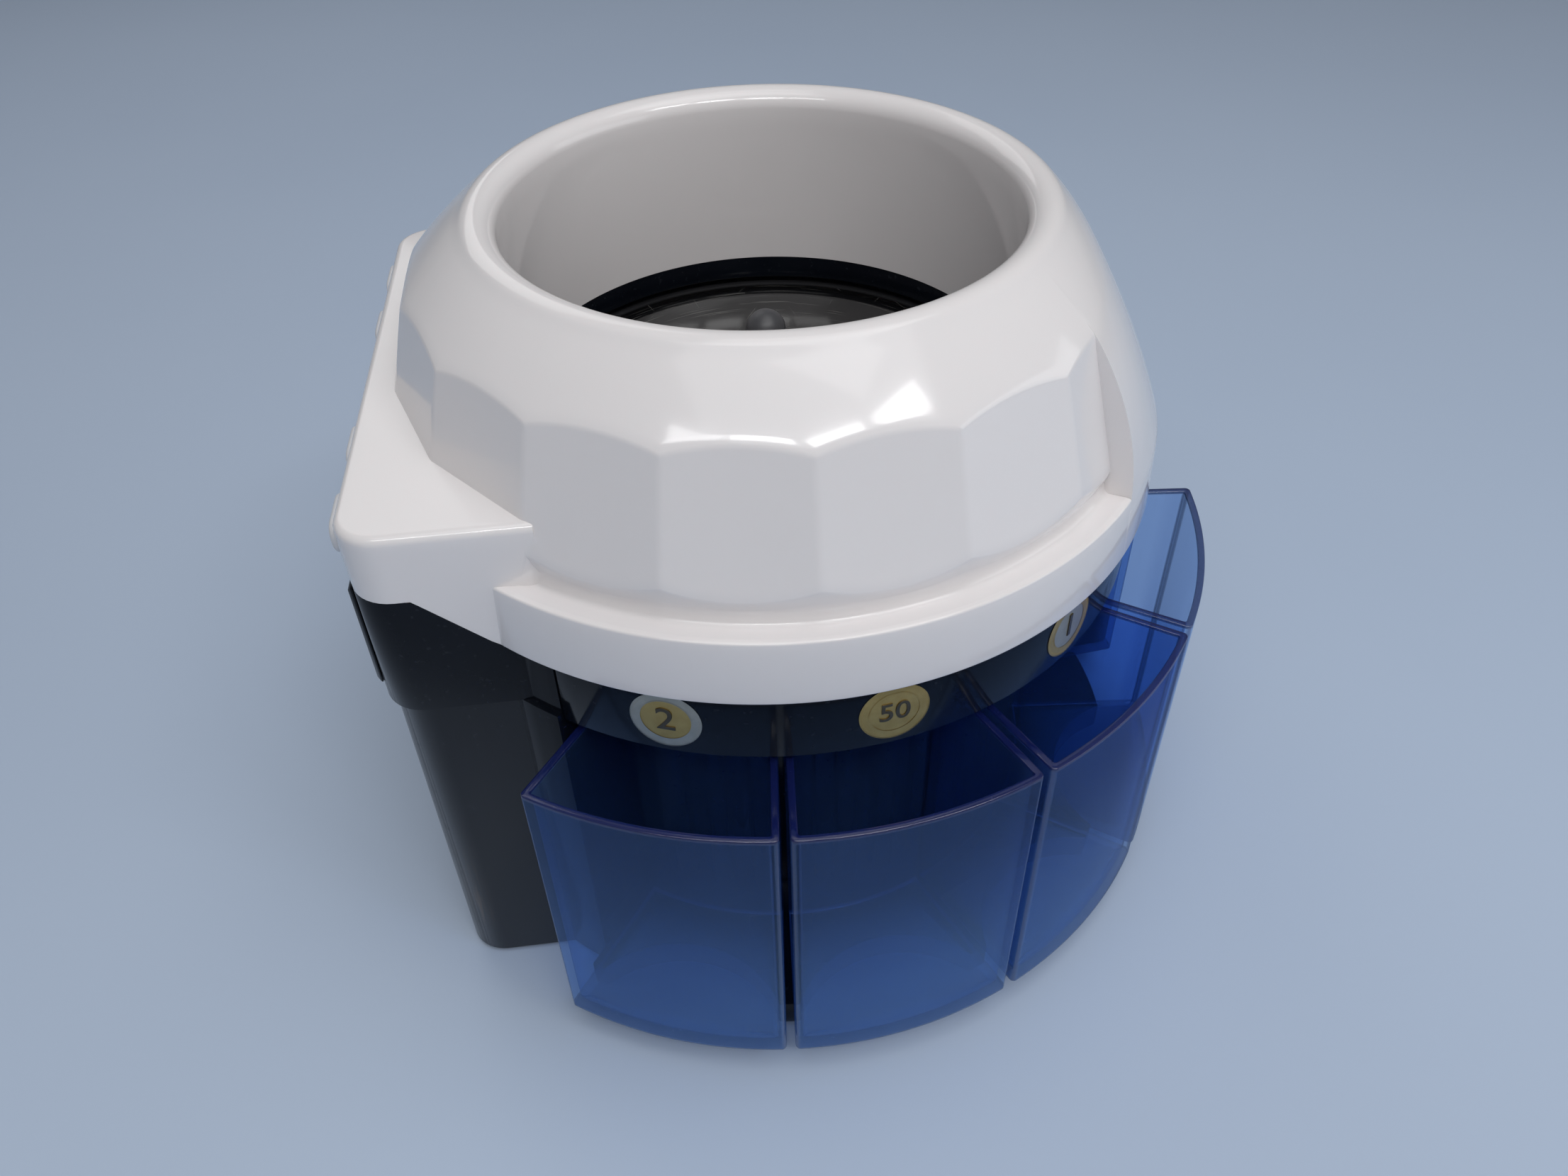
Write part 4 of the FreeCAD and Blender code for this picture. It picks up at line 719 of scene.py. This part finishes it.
def skirt_line(side_end, rear):
    """From the dome's foot over the ledge, down the skirt and back up inside to the bowl."""
    skirt_top_r = SKIRT_R - SKIRT_DRAFT
    inner = skirt_top_r - COVER_WALL
    bend_z = SKIRT_TOP - SKIRT_BEND
    if rear:
        outside = [(skirt_top_r + 0.02 * MM * k, SKIRT_TOP - SKIRT_EDGE - 0.3 * MM * k)
                   for k in range(1, 17)]
    else:
        outside = rounded([side_end, (BARREL[2][0] + LEDGE_START, SKIRT_TOP - LEDGE_DROP),
                           (skirt_top_r - SKIRT_EDGE, SKIRT_TOP), (skirt_top_r, SKIRT_TOP),
                           (skirt_top_r + 0.2 * MM, bend_z)], SKIRT_EDGE)[1:]
    foot = rounded([outside[-1], (SKIRT_R, SKIRT_BOTTOM), (inner + 0.3 * MM, SKIRT_BOTTOM),
                    (inner, bend_z)], FOOT_ROUND, 3)[1:]
    roof = LIP_Z - LIP_TUBE
    bowl_out = BOWL_R + BOWL_WALL
    inside = [(BARREL[2][0] - COVER_WALL, SKIRT_TOP - 4 * MM),
              (FACET_FOOT[0] - COVER_WALL, FACET_FOOT[1]),
              (REAR_BACK[1] - 2 * COVER_WALL, BARREL[0][1] - COVER_WALL),
              (CROWN_VIA[0] - 3 * COVER_WALL, roof), (LIP_R, roof),
              (bowl_out, roof - COVER_WALL), (bowl_out, BOWL_BOTTOM)]
    return outside + foot + inside


def bowl_line():
    """The hopper's bore from its foot to the outer side of the lip."""
    line = list(zip(eased(BOWL_R, LIP_R - LIP_TUBE, 10), eased(BOWL_BOTTOM, LIP_Z, 10)))
    for k in range(14):
        turn = math.radians(180 - (180 - LIP_SIDE) * k / 14)
        line.append((LIP_R + LIP_TUBE * math.cos(turn), LIP_Z + LIP_TUBE * math.sin(turn)))
    return line


def dome_columns():
    """Azimuths of the dome's mesh lines, closer together beside each ridge."""
    pitch = 360.0 / FACETS
    within = [0.0, 0.22] + [0.7 + k * (pitch - 1.4) / 18 for k in range(19)] + [pitch - 0.22]
    columns = [k * pitch + step for k in range(FACETS) for step in within]
    for edge in (REAR_MIDDLE - REAR_HALF, REAR_MIDDLE + REAR_HALF):
        columns += [edge - REAR_SEAM, edge + REAR_SEAM]
    return sorted(columns)


def dome():
    """The round part of the cover as one closed mesh."""
    bowl = bowl_line()
    vertices = []
    azimuths = dome_columns()
    pitch = 360.0 / FACETS
    flat = range(CROWN_STEPS + 2, CROWN_STEPS + 2 + FLAT_STEPS + 1)
    reach = BLOCK_FRONT - BLOCK_SKIN
    for az in azimuths:
        rear = abs((az - REAR_MIDDLE + 180) % 360 - 180) < REAR_HALF
        side = faceted_side(math.radians((az % pitch) - pitch / 2))
        if abs((az + pitch / 2) % pitch - pitch / 2) < RIDGE_NEAR:
            side = [(r - RIDGE_EASE if k in flat else r, z) for k, (r, z) in enumerate(side)]
        if rear:
            side = plain_side(az, len(side))
        angle = math.radians(az)
        front = max(-math.sin(angle), 0.0)
        for radius, z in bowl + side + skirt_line(side[-1], rear):
            if z < BLOCK_TOP - BLOCK_EDGE and radius * front > reach:
                radius = reach / front
            vertices.append((radius * math.cos(angle), AXIS_Y + radius * math.sin(angle), z))
    faces = turned_faces(len(azimuths), len(vertices) // len(azimuths))
    return face_outwards(piece_from("hopper_cover_look", vertices, faces, FINISHES["white_abs"]))


def block_outline(inset, steps=10):
    """The front block's plan, open at the back: left side, front with round corners, right side."""
    half, front = BLOCK_HALF - inset, BLOCK_FRONT - inset
    radius = BLOCK_CORNER - inset
    line = [(-half, y) for y in eased(-BLOCK_BACK, radius - front, SIDE_STEPS)]
    for sign, start in ((-1, 180), (1, 270)):
        for k in range(steps + 1):
            turn = math.radians(start + 90 * k / steps)
            line.append((sign * (half - radius) + radius * math.cos(turn),
                         -front + radius + radius * math.sin(turn)))
    line += [(half, y) for _, y in reversed(line[:SIDE_STEPS])]
    return line


def seam_height(y):
    """The block's lower edge: level at the front, then slanting down to the skirt."""
    meet = -math.sqrt(SKIRT_R ** 2 - BLOCK_HALF ** 2)
    begin = -BLOCK_FRONT + CHEEK_START * (BLOCK_FRONT + meet)
    share = min(max((y - begin) / (meet - begin), 0.0), 1.0)
    return BLOCK_SPLIT + (SKIRT_BOTTOM - BLOCK_SPLIT) * share


def front_block(inset, top):
    """The block as a closed mesh, moved in by an inset, up to a height."""
    edge = BLOCK_EDGE if inset == 0 else 0.5 * MM
    rows = []
    for share in BLOCK_ROWS:
        row = []
        for x, y in block_outline(inset):
            foot = seam_height(y) - 6 * inset
            row.append((x, y, foot + (top - edge - foot) * share))
        rows.append(row)
    for cosine, sine in quarter(6):
        rows.append([(x, y, top - edge + edge * sine)
                     for x, y in block_outline(inset + edge * (1 - cosine))])
    vertices = [(x, AXIS_Y + y, z) for row in rows for x, y, z in row]
    count = len(rows[0])
    faces = row_faces(len(rows), count)
    faces += [tuple(reversed(range(count))), end_cap(len(rows), count)]
    return face_outwards(piece_from("front_block", vertices, faces, FINISHES["white_abs"]))


def capsule(name, half_w, half_h, y0, y1, x, z, soft, material):
    """A plate on edge with rounded ends and softened faces, from y0 (front) to y1."""
    def ring(inset, y):
        radius = CAPSULE_ROUND * half_h - inset
        line = []
        for cx, cz, start in ((1, 1, 0), (-1, 1, 90), (-1, -1, 180), (1, -1, 270)):
            for k in range(9):
                turn = math.radians(start + 90 * k / 8)
                line.append((x + cx * (half_w - inset - radius) + radius * math.cos(turn), y,
                             z + cz * (half_h - inset - radius) + radius * math.sin(turn)))
        return line

    rows = [ring(0.0, y0)]
    if soft:
        rows = [ring(soft * (1 - sine), y0 + soft * (1 - cosine)) for cosine, sine in quarter(4)]
    rows.append(ring(0.0, y1))
    count = len(rows[0])
    faces = row_faces(len(rows), count)
    faces += [tuple(range(count)), end_cap(len(rows), count)]
    return face_outwards(piece_from(name, [p for row in rows for p in row], faces, material))


def bore_plug(radius):
    """A round plug that keeps the front block out of the hopper's bore."""
    low, high = SKIRT_BOTTOM - PLUG_BELOW, BLOCK_TOP + PLUG_ABOVE
    line = [(0.0, low), (radius, low), (radius, high), (0.0, high)]
    return spun("bore_plug", line, FINISHES["white_abs"])


def hopper_cover():
    """The white moulding: dome and block joined, hollow, with openings for keys and window."""
    cover = dome()
    outside = front_block(0.0, BLOCK_TOP)
    boolean(outside, bore_plug(BOWL_R + COVER_WALL / 2), "DIFFERENCE")
    boolean(cover, outside, "UNION")
    hollow = front_block(COVER_WALL, BLOCK_TOP - COVER_WALL)
    boolean(hollow, bore_plug(BOWL_R + COVER_WALL), "DIFFERENCE")
    boolean(cover, hollow, "DIFFERENCE")
    front, inside = AXIS_Y - BLOCK_FRONT, AXIS_Y - BLOCK_FRONT + CUT_DEPTH
    middle = (KEY_BOXES[0][0].z + KEY_BOXES[0][1].z) / 2
    cuts = [(WINDOW_W / 2, WINDOW_H / 2, 0)]
    for low, high in KEY_BOXES:
        half_w, half_h = key_half(low, high)
        cuts.append((half_w + KEY_PLAY, half_h + KEY_PLAY, (low.x + high.x) / 2))
    for half_w, half_h, x in cuts:
        slot = capsule("panel_cut", half_w, half_h, front - MM, inside, x, middle, 0,
                       FINISHES["white_abs"])
        boolean(cover, slot, "DIFFERENCE")
    sharpen(cover, 38.0)
    settle(cover, "hopper_cover", "casing")


def key_half(low, high):
    """Half width and half height of a key's cap, without its flange."""
    return (high.x - low.x) / 2 - KEY_LIP, (high.z - low.z) / 2 - KEY_LIP


def panel_keys():
    """Capsule keys with a softened face."""
    for k, (low, high) in enumerate(KEY_BOXES):
        half_w, half_h = key_half(low, high)
        cap = capsule("panel_key_%d_look" % (k + 1), half_w, half_h, low.y, high.y,
                      (low.x + high.x) / 2, (low.z + high.z) / 2, KEY_SOFT, FINISHES["key_white"])
        sharpen(cap, 40.0)
        settle(cap, "panel_key_%d" % (k + 1), "key_%d" % (k + 1))


# Trays
def tray_outline(wall):
    """A tray's plan about azimuth zero, moved in by a wall, with rounded outer corners."""
    half = math.radians(TRAY_HALF)
    outer, inner = TRAY_R - wall, TRAY_INNER_R + wall
    corner = max(TRAY_CORNER - wall, TRAY_INNER_CORNER)
    in_a = half - math.asin(wall / inner)
    centre_r = outer - corner
    centre_a = half - math.asin((wall + corner) / centre_r)
    line = []
    for k in range(OUTER_STEPS + 1):
        turn = -centre_a + 2 * centre_a * k / OUTER_STEPS
        line.append((outer * math.cos(turn), outer * math.sin(turn)))
    cx, cy = centre_r * math.cos(centre_a), centre_r * math.sin(centre_a)
    for k in range(1, CORNER_STEPS + 1):
        turn = centre_a + (half + math.pi / 2 - centre_a) * k / CORNER_STEPS
        line.append((cx + corner * math.cos(turn), cy + corner * math.sin(turn)))
    for k in range(INNER_STEPS + 1):
        turn = in_a - 2 * in_a * k / INNER_STEPS
        line.append((inner * math.cos(turn), inner * math.sin(turn)))
    line += [(x, -y) for x, y in reversed(line[OUTER_STEPS + 1:OUTER_STEPS + 1 + CORNER_STEPS])]
    return line


def tray_rows():
    """The tray's mesh rows as (plan inset, height): outside up, over the rim and down inside."""
    floor = TRAY_BOTTOM + TRAY_FLOOR
    rows = [(TRAY_FOOT_R * (1 - sine), TRAY_BOTTOM + TRAY_FOOT_R * (1 - cosine))
            for cosine, sine in quarter(4)]
    rows += [(0.0, z) for z in eased(TRAY_BOTTOM, TRAY_TOP, TRAY_BANDS)[1:]]
    rows += [(TRAY_RIM * (1 - cosine), TRAY_TOP - TRAY_RIM * (1 - sine))
             for cosine, sine in quarter(3)]
    rows += [(TRAY_WALL - TRAY_RIM * (1 - sine), TRAY_TOP - TRAY_RIM * (1 - cosine))
             for cosine, sine in quarter(3)]
    rows += [(TRAY_WALL, z) for z in reversed(eased(floor, TRAY_TOP, TRAY_BANDS)[1:])]
    rows += [(TRAY_WALL + TRAY_COVE * (1 - cosine), floor + TRAY_COVE * (1 - sine))
             for cosine, sine in quarter(3)]
    return rows


def corner_marks():
    """How far each point of a tray's plan lies on an outer corner, from 0 to 1."""
    middle = CORNER_STEPS / 2
    corner = [min(1.0, 1.5 * (1 - abs(k - middle) / middle)) for k in range(1, CORNER_STEPS + 1)]
    return [0.0] * (OUTER_STEPS + 1) + corner + [0.0] * (INNER_STEPS + 1) + corner[::-1]


def coin_tray(number, azimuth):
    """One clear tray."""
    turn = math.radians(azimuth)
    vertices, rows = [], tray_rows()
    for wall, z in rows:
        for x, y in tray_outline(wall):
            vertices.append((x * math.cos(turn) - y * math.sin(turn),
                             AXIS_Y + x * math.sin(turn) + y * math.cos(turn), z))
    count = len(vertices) // len(rows)
    faces = row_faces(len(rows), count) + [tuple(range(count)), end_cap(len(rows), count)]
    name = "coin_tray_%d" % number
    tray = piece_from(name + "_look", vertices, faces, FINISHES["blue_tray"])
    # The corner marks carry the painted shade on the tray's outer corners.
    marks = tray.data.attributes.new("corner", "FLOAT", "POINT")
    marks.data.foreach_set("value", corner_marks() * len(rows))
    face_outwards(tray)
    sharpen(tray, 35.0)
    settle(tray, name, "tray_%d" % number)


# Dish, knob and ring
def feed_dish():
    """The dish with its soft steps."""
    z, low = DISH_HIGH.z, DISH_LOW.z
    outer = DISH_HIGH.x
    rim = outer - DISH_RIM
    floor = z - DISH_DROP
    under = floor - DISH_WALL
    ledge = floor + DISH_STEP
    bend = math.atan2(z - ledge, rim - DISH_FLOOR_R)
    radius = math.hypot(z - ledge, rim - DISH_FLOOR_R) / (2 * math.sin(bend))
    via = (DISH_FLOOR_R + radius * math.sin(bend), ledge + radius * (1 - math.cos(bend)))
    boss_foot, boss_top, boss_rise = DISH_BOSS
    line = rounded([(DISH_BORE, low), (DISH_HUB_R, low), (DISH_HUB_R, under), (DISH_FLOOR_R, under),
                    (rim, z - DISH_WALL), (outer, z - DISH_WALL), (outer, z), (rim, z)], 1.0 * MM)
    line += arc_points((rim, z), via, (DISH_FLOOR_R + 0.4 * MM, ledge), 16)[1:]
    line += rounded([(DISH_FLOOR_R, ledge - 0.3 * MM), (DISH_FLOOR_R, floor), (boss_foot, floor),
                     (boss_top, floor + boss_rise), (DISH_BORE, floor + boss_rise)], 0.5 * MM)
    settle(spun("feed_disc_look", line, FINISHES["dish_black"], 192), "feed_disc", "dish")


def dish_knob():
    """The rounded knob in the middle of the dish."""
    foot, top, head = KNOB_LOW.z, KNOB_HIGH.z, KNOB_HEAD
    wide, edge, cone = KNOB_FOOT
    line = rounded([(0.0, foot), (wide, foot), (wide, foot + edge), (KNOB_NECK, foot + cone),
                    (KNOB_NECK, top - 2 * head), (head, top - head)], 1.5 * MM, 5)
    line += [(head * cosine, top - head + head * sine) for cosine, sine in quarter(10)[1:10]]
    line.append((0.0, top))
    settle(spun("disc_knob_look", line, FINISHES["knob_grey"], 64), "disc_knob", "dish")


def bowl_ring():
    """The black ring under the bore."""
    inner = BOWL_R + RING_PLAY
    outer = RING_HIGH.x
    loop = [(inner, RING_LOW.z), (outer, RING_LOW.z), (outer, RING_HIGH.z), (inner, RING_HIGH.z)]
    middle = ((inner + outer) / 2, RING_LOW.z)
    line = rounded([middle] + loop[1:] + [loop[0], middle], RING_ROUND)[:-1]
    settle(spun("bowl_ring_look", line, FINISHES["black_abs"], 192), "bowl_ring", "casing")


# Repeated small pieces, made by node trees
def new_tree(name, inputs):
    """A geometry tree with named inputs for its sizes; returns it with its in and out nodes."""
    tree = bpy.data.node_groups.new(name, "GeometryNodeTree")
    tree.interface.new_socket("Geometry", in_out="INPUT", socket_type="NodeSocketGeometry")
    for label, value in inputs.items():
        kind = "NodeSocketInt" if isinstance(value, int) else "NodeSocketFloat"
        tree.interface.new_socket(label, in_out="INPUT", socket_type=kind).default_value = value
    tree.interface.new_socket("Geometry", in_out="OUTPUT", socket_type="NodeSocketGeometry")
    return tree, tree.nodes.new("NodeGroupInput"), tree.nodes.new("NodeGroupOutput")


def linked(tree, kind, settings=None, **inputs):
    """Add a node to a geometry tree; inputs are values or output sockets."""
    node = tree.nodes.new(kind)
    for key, value in (settings or {}).items():
        setattr(node, key, value)
    for key, value in inputs.items():
        socket = node.inputs[key.replace("_", " ")]
        if isinstance(value, bpy.types.NodeSocket):
            tree.links.new(value, socket)
        else:
            socket.default_value = value
    return node


def finish_tree(tree, instances, material, end):
    """Close a tree with Realize Instances and Set Material."""
    real = linked(tree, "GeometryNodeRealizeInstances", None, Geometry=instances)
    coated = linked(tree, "GeometryNodeSetMaterial", None, Geometry=real.outputs[0])
    coated.inputs["Material"].default_value = material
    tree.links.new(coated.outputs[0], end.inputs[0])
    return tree


def grown(name, tree, values, points=None):
    """A plain mesh from a tree, with its named inputs set and optional points to work on."""
    mesh = bpy.data.meshes.new(name)
    mesh.from_pydata(points or [(0, 0, 0)], [], [])
    thing = placed(name, mesh)
    step = thing.modifiers.new("grow", "NODES")
    step.node_group = tree
    for item in tree.interface.items_tree:
        if item.in_out == "INPUT" and item.name in values:
            step[item.identifier] = values[item.name]
    return baked(thing)


def bead_ring_tree(material):
    """Small beads round a circle."""
    tree, start, end = new_tree("bead_ring", BEAD_SIZES)
    size = start.outputs
    circle = linked(tree, "GeometryNodeMeshCircle", None, Vertices=size["Beads"],
                    Radius=size["Ring Radius"])
    bead = linked(tree, "GeometryNodeMeshIcoSphere", None, Radius=size["Bead Size"], Subdivisions=1)
    spread = linked(tree, "GeometryNodeInstanceOnPoints", None, Points=circle.outputs[0],
                    Instance=bead.outputs[0])
    return finish_tree(tree, spread.outputs[0], material, end)


def screw_tree(material):
    """A pan head with a cross recess at every point, heads down."""
    tree, start, end = new_tree("pan_head_screws", SCREW_SIZES)
    size = start.outputs
    head = linked(tree, "GeometryNodeMeshCylinder", None, Vertices=32, Radius=size["Head Radius"],
                  Depth=size["Head Height"])
    recess = linked(tree, "ShaderNodeCombineXYZ", None, X=size["Head Radius"],
                    Y=size["Cross Width"], Z=size["Head Height"])
    bar = linked(tree, "GeometryNodeMeshCube", None, Size=recess.outputs[0])
    drop = linked(tree, "ShaderNodeCombineXYZ", None, Z=size["Head Height"])
    down = linked(tree, "ShaderNodeVectorMath", {"operation": "SCALE"}, Vector=drop.outputs[0],
                  Scale=-0.6)
    cut = linked(tree, "GeometryNodeMeshBoolean", {"operation": "DIFFERENCE"})
    tree.links.new(head.outputs[0], cut.inputs[0])
    for turn in (0.0, math.pi / 2):
        slot = linked(tree, "GeometryNodeTransform", None, Geometry=bar.outputs[0],
                      Translation=down.outputs[0], Rotation=(0, 0, turn))
        tree.links.new(slot.outputs[0], cut.inputs[1])
    spread = linked(tree, "GeometryNodeInstanceOnPoints", None, Points=size["Geometry"],
                    Instance=cut.outputs[0])
    return finish_tree(tree, spread.outputs[0], material, end)


def foot_screws():
    """Screw heads in the feet, at the middle of each CAD screw."""
    low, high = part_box("rubber_feet")
    front, rear = low.y + FOOT_R, high.y - FOOT_R
    places = [(low.x + FOOT_R, front, SCREW_Z), (high.x - FOOT_R, front, SCREW_Z),
              (-REAR_FOOT_X, rear, SCREW_Z), (REAR_FOOT_X, rear, SCREW_Z)]
    heads = grown("foot_screw_heads", screw_tree(FINISHES["steel"]), SCREW_SIZES, places)
    sharpen(heads, 35.0)
    settle(heads, "foot_screws", "casing")


# Badges
def flat_disc(inner, outer, z):
    """A flat ring or disc as vertices and faces, about the origin."""
    turns = [2 * math.pi * k / BADGE_STEPS for k in range(BADGE_STEPS)]
    radii = [outer + (inner - outer) * j / BADGE_RINGS for j in range(BADGE_RINGS + 1)]
    vertices = [(radius * math.cos(turn), radius * math.sin(turn), z)
                for radius in radii for turn in turns]
    return vertices, row_faces(len(radii), BADGE_STEPS)


def numeral(text, height):
    """A plain number as a mesh about the origin, standing a little proud."""
    curve = bpy.data.curves.new("numeral", "FONT")
    curve.body = text
    curve.align_x = "CENTER"
    curve.align_y = "CENTER"
    curve.size = height
    curve.extrude = BADGE_RISE * 0.5
    curve.bevel_depth = BADGE_RISE * 0.3
    curve.resolution_u = 6
    holder = placed("numeral", curve)
    graph = bpy.context.evaluated_depsgraph_get()
    mesh = bpy.data.meshes.new_from_object(holder.evaluated_get(graph))
    bpy.data.objects.remove(holder)
    bpy.data.curves.remove(curve)
    return mesh


def badge_parts(text, ring, centre, beads):
    """One badge lying flat: (vertices, faces, metal) of its ring, centre, beads and number."""
    step = BADGE_R * RING_SHARE
    rise = BADGE_RISE
    in_line, out_line = 1 - BADGE_BEAD, 1 + BADGE_BEAD
    discs = ((step, BADGE_R * in_line, rise * 0.4, ring), (PIN_HOLE, step, rise * 0.25, centre),
             (BADGE_R * in_line, BADGE_R, rise * 0.75, ring),
             (step * in_line, step * out_line, rise * 0.75, ring))
    parts = [(*flat_disc(inner, outer, z), metal_name) for inner, outer, z, metal_name in discs]
    parts.append(([tuple(v.co) for v in beads.vertices],
                  [tuple(p.vertices) for p in beads.polygons], ring))
    digits = numeral(text, BADGE_R * (ONE_DIGIT if len(text) == 1 else TWO_DIGITS))
    # The numbers take the darker foil: painted shade of their relief.
    parts.append(([(v.co.x, v.co.y, v.co.z + rise * 0.55) for v in digits.vertices],
                  [tuple(p.vertices) for p in digits.polygons], "numeral_shade"))
    bpy.data.meshes.remove(digits)
    return parts


def on_band(point, azimuth):
    """Bend a flat badge's point onto the band; its X runs to the right seen from outside."""
    turn = math.radians(azimuth) + point[0] / BADGE_BAND_R
    radius = BADGE_BAND_R + point[2]
    return (radius * math.cos(turn), AXIS_Y + radius * math.sin(turn), BADGE_Z + point[1])


def coin_badges():
    """All the badges as one piece."""
    circle = grown("beads", bead_ring_tree(FOIL["gold"]), BEAD_SIZES)
    metals = list(FOIL)
    vertices, faces, marks = [], [], []
    for (text, ring, centre), azimuth in zip(BADGES, TRAY_AZ):
        for points, loops, metal_name in badge_parts(text, ring, centre, circle.data):
            start = len(vertices)
            vertices += [on_band(point, azimuth) for point in points]
            faces += [tuple(start + i for i in loop) for loop in loops]
            marks += [metals.index(metal_name)] * len(loops)
    bpy.data.objects.remove(circle)
    plate = piece_from("coin_badges_look", vertices, faces, FOIL[metals[0]])
    for metal_name in metals[1:]:
        plate.data.materials.append(FOIL[metal_name])
    plate.data.polygons.foreach_set("material_index", marks)
    sharpen(plate, 40.0)
    settle(plate, "coin_badges", "casing")


# Casing and inner pieces
EDGE_ROUNDING = {"body_shell": 0.8, "base_plate": 0.8, "chute_ring": 0.5, "sorting_rail": 0.3,
                 "front_fascia": 0.5, "power_inlet": 0.5, "switch_bezel": 0.5, "power_rocker": 0.4,
                 "rubber_feet": 0.5}
BODY_OF = {node: body for body, members in RECORD["behaviour"]["bodies"].items()
           for node in members}


def casing():
    """The remaining outer pieces, with softened edges."""
    for node, width in EDGE_ROUNDING.items():
        settle(dressed(node, width * MM), node, BODY_OF[node])


def coat_cad_nodes():
    """Give every CAD node its finish, shown or not."""
    for name, thing in NODES.items():
        thing.data.materials.clear()
        thing.data.materials.append(FINISHES[SLOT_OF[name]])


# Stage, light and camera
def floor():
    """A plain pale floor with the faintest unevenness."""
    f = Finish("pale_floor")
    cloud = f.noise(f.place(), 1.6, 4.0)
    colour = f.mix(cloud, rgb(0.47, 0.57, 0.73), rgb(0.53, 0.63, 0.78))
    material = f.done(f.principled(Base_Color=colour, Roughness=0.45 + cloud * 0.1))
    corners = ((-1, -1), (1, -1), (1, 1), (-1, 1))
    plane = piece_from("floor", [(x * FLOOR_HALF, y * FLOOR_HALF, 0) for x, y in corners],
                       [(0, 1, 2, 3)], material, False)


def lamp(name, place, target, size, power, colour=(1, 1, 1)):
    """A soft rectangular lamp aimed at a point."""
    light = bpy.data.lights.new(name, "AREA")
    light.shape = "RECTANGLE"
    light.size, light.size_y = size
    light.energy = power
    light.color = colour
    thing = placed(name, light)
    thing.location = place
    thing.rotation_euler = (Vector(target) - Vector(place)).to_track_quat("-Z", "Y").to_euler()


def lights():
    """Soft studio light: overhead and side panels, window panes behind the camera and a fill."""
    middle = Vector((0, AXIS_Y, AIM_Z))
    lamp("overhead", (0.1, 0.25, 1.9), middle, (1.2, 1.2), 5)
    lamp("front_high", (0.7, 0.2, 1.9), middle, (1.8, 1.5), 7)
    lamp("side", (0.5, 1.6, 0.6), middle, (1.6, 0.9), 5, (0.96, 0.98, 1.0))
    lamp("fill", (-1.2, -0.6, 1.2), middle, (1.0, 1.0), 2.5)
    rise = math.radians(PANE_RISE)
    for k, (degrees, power) in enumerate(PANES):
        turn = math.radians(degrees)
        level = Vector((math.cos(turn), math.sin(turn), 0))
        way = level * math.cos(rise) + Vector((0, 0, math.sin(rise)))
        lamp("pane_%d" % (k + 1), middle + way * PANE_REACH, middle, PANE_SIZE, power)
    world = bpy.data.worlds.new("studio")
    world.use_nodes = True
    backdrop = world.node_tree.nodes["Background"]
    backdrop.inputs["Color"].default_value = rgb(0.86, 0.90, 0.97)
    backdrop.inputs["Strength"].default_value = WORLD_LEVEL
    bpy.context.scene.world = world
    bpy.context.scene.view_settings.view_transform = "Standard"


def camera():
    """The photograph's viewpoint."""
    heading = Vector((*CAMERA_HEADING, 0)).normalized()
    pitch, roll = math.radians(CAMERA_PITCH), math.radians(CAMERA_ROLL)
    forward = heading * math.cos(pitch) + Vector((0, 0, -math.sin(pitch)))
    right = forward.cross(Vector((0, 0, 1))).normalized()
    up = right.cross(forward)
    tilted = right * math.cos(roll) + up * math.sin(roll)
    upright = up * math.cos(roll) - right * math.sin(roll)
    turn = Matrix((tilted, upright, -forward)).transposed().to_4x4()
    lens = bpy.data.cameras.new("photo_view")
    lens.lens = CAMERA_LENS
    lens.sensor_width = 36.0
    lens.sensor_fit = "HORIZONTAL"
    lens.clip_start = 0.01
    eye = placed("photo_view", lens)
    eye.matrix_world = Matrix.Translation(Vector(CAMERA_AT) + Vector((0, AXIS_Y, 0))) @ turn
    bpy.context.scene.camera = eye


coat_cad_nodes()
hopper_cover()
panel_keys()
for index, azimuth in enumerate(TRAY_AZ):
    coin_tray(index + 1, azimuth)
feed_dish()
dish_knob()
bowl_ring()
casing()
coin_badges()
foot_screws()
floor()
lights()
camera()
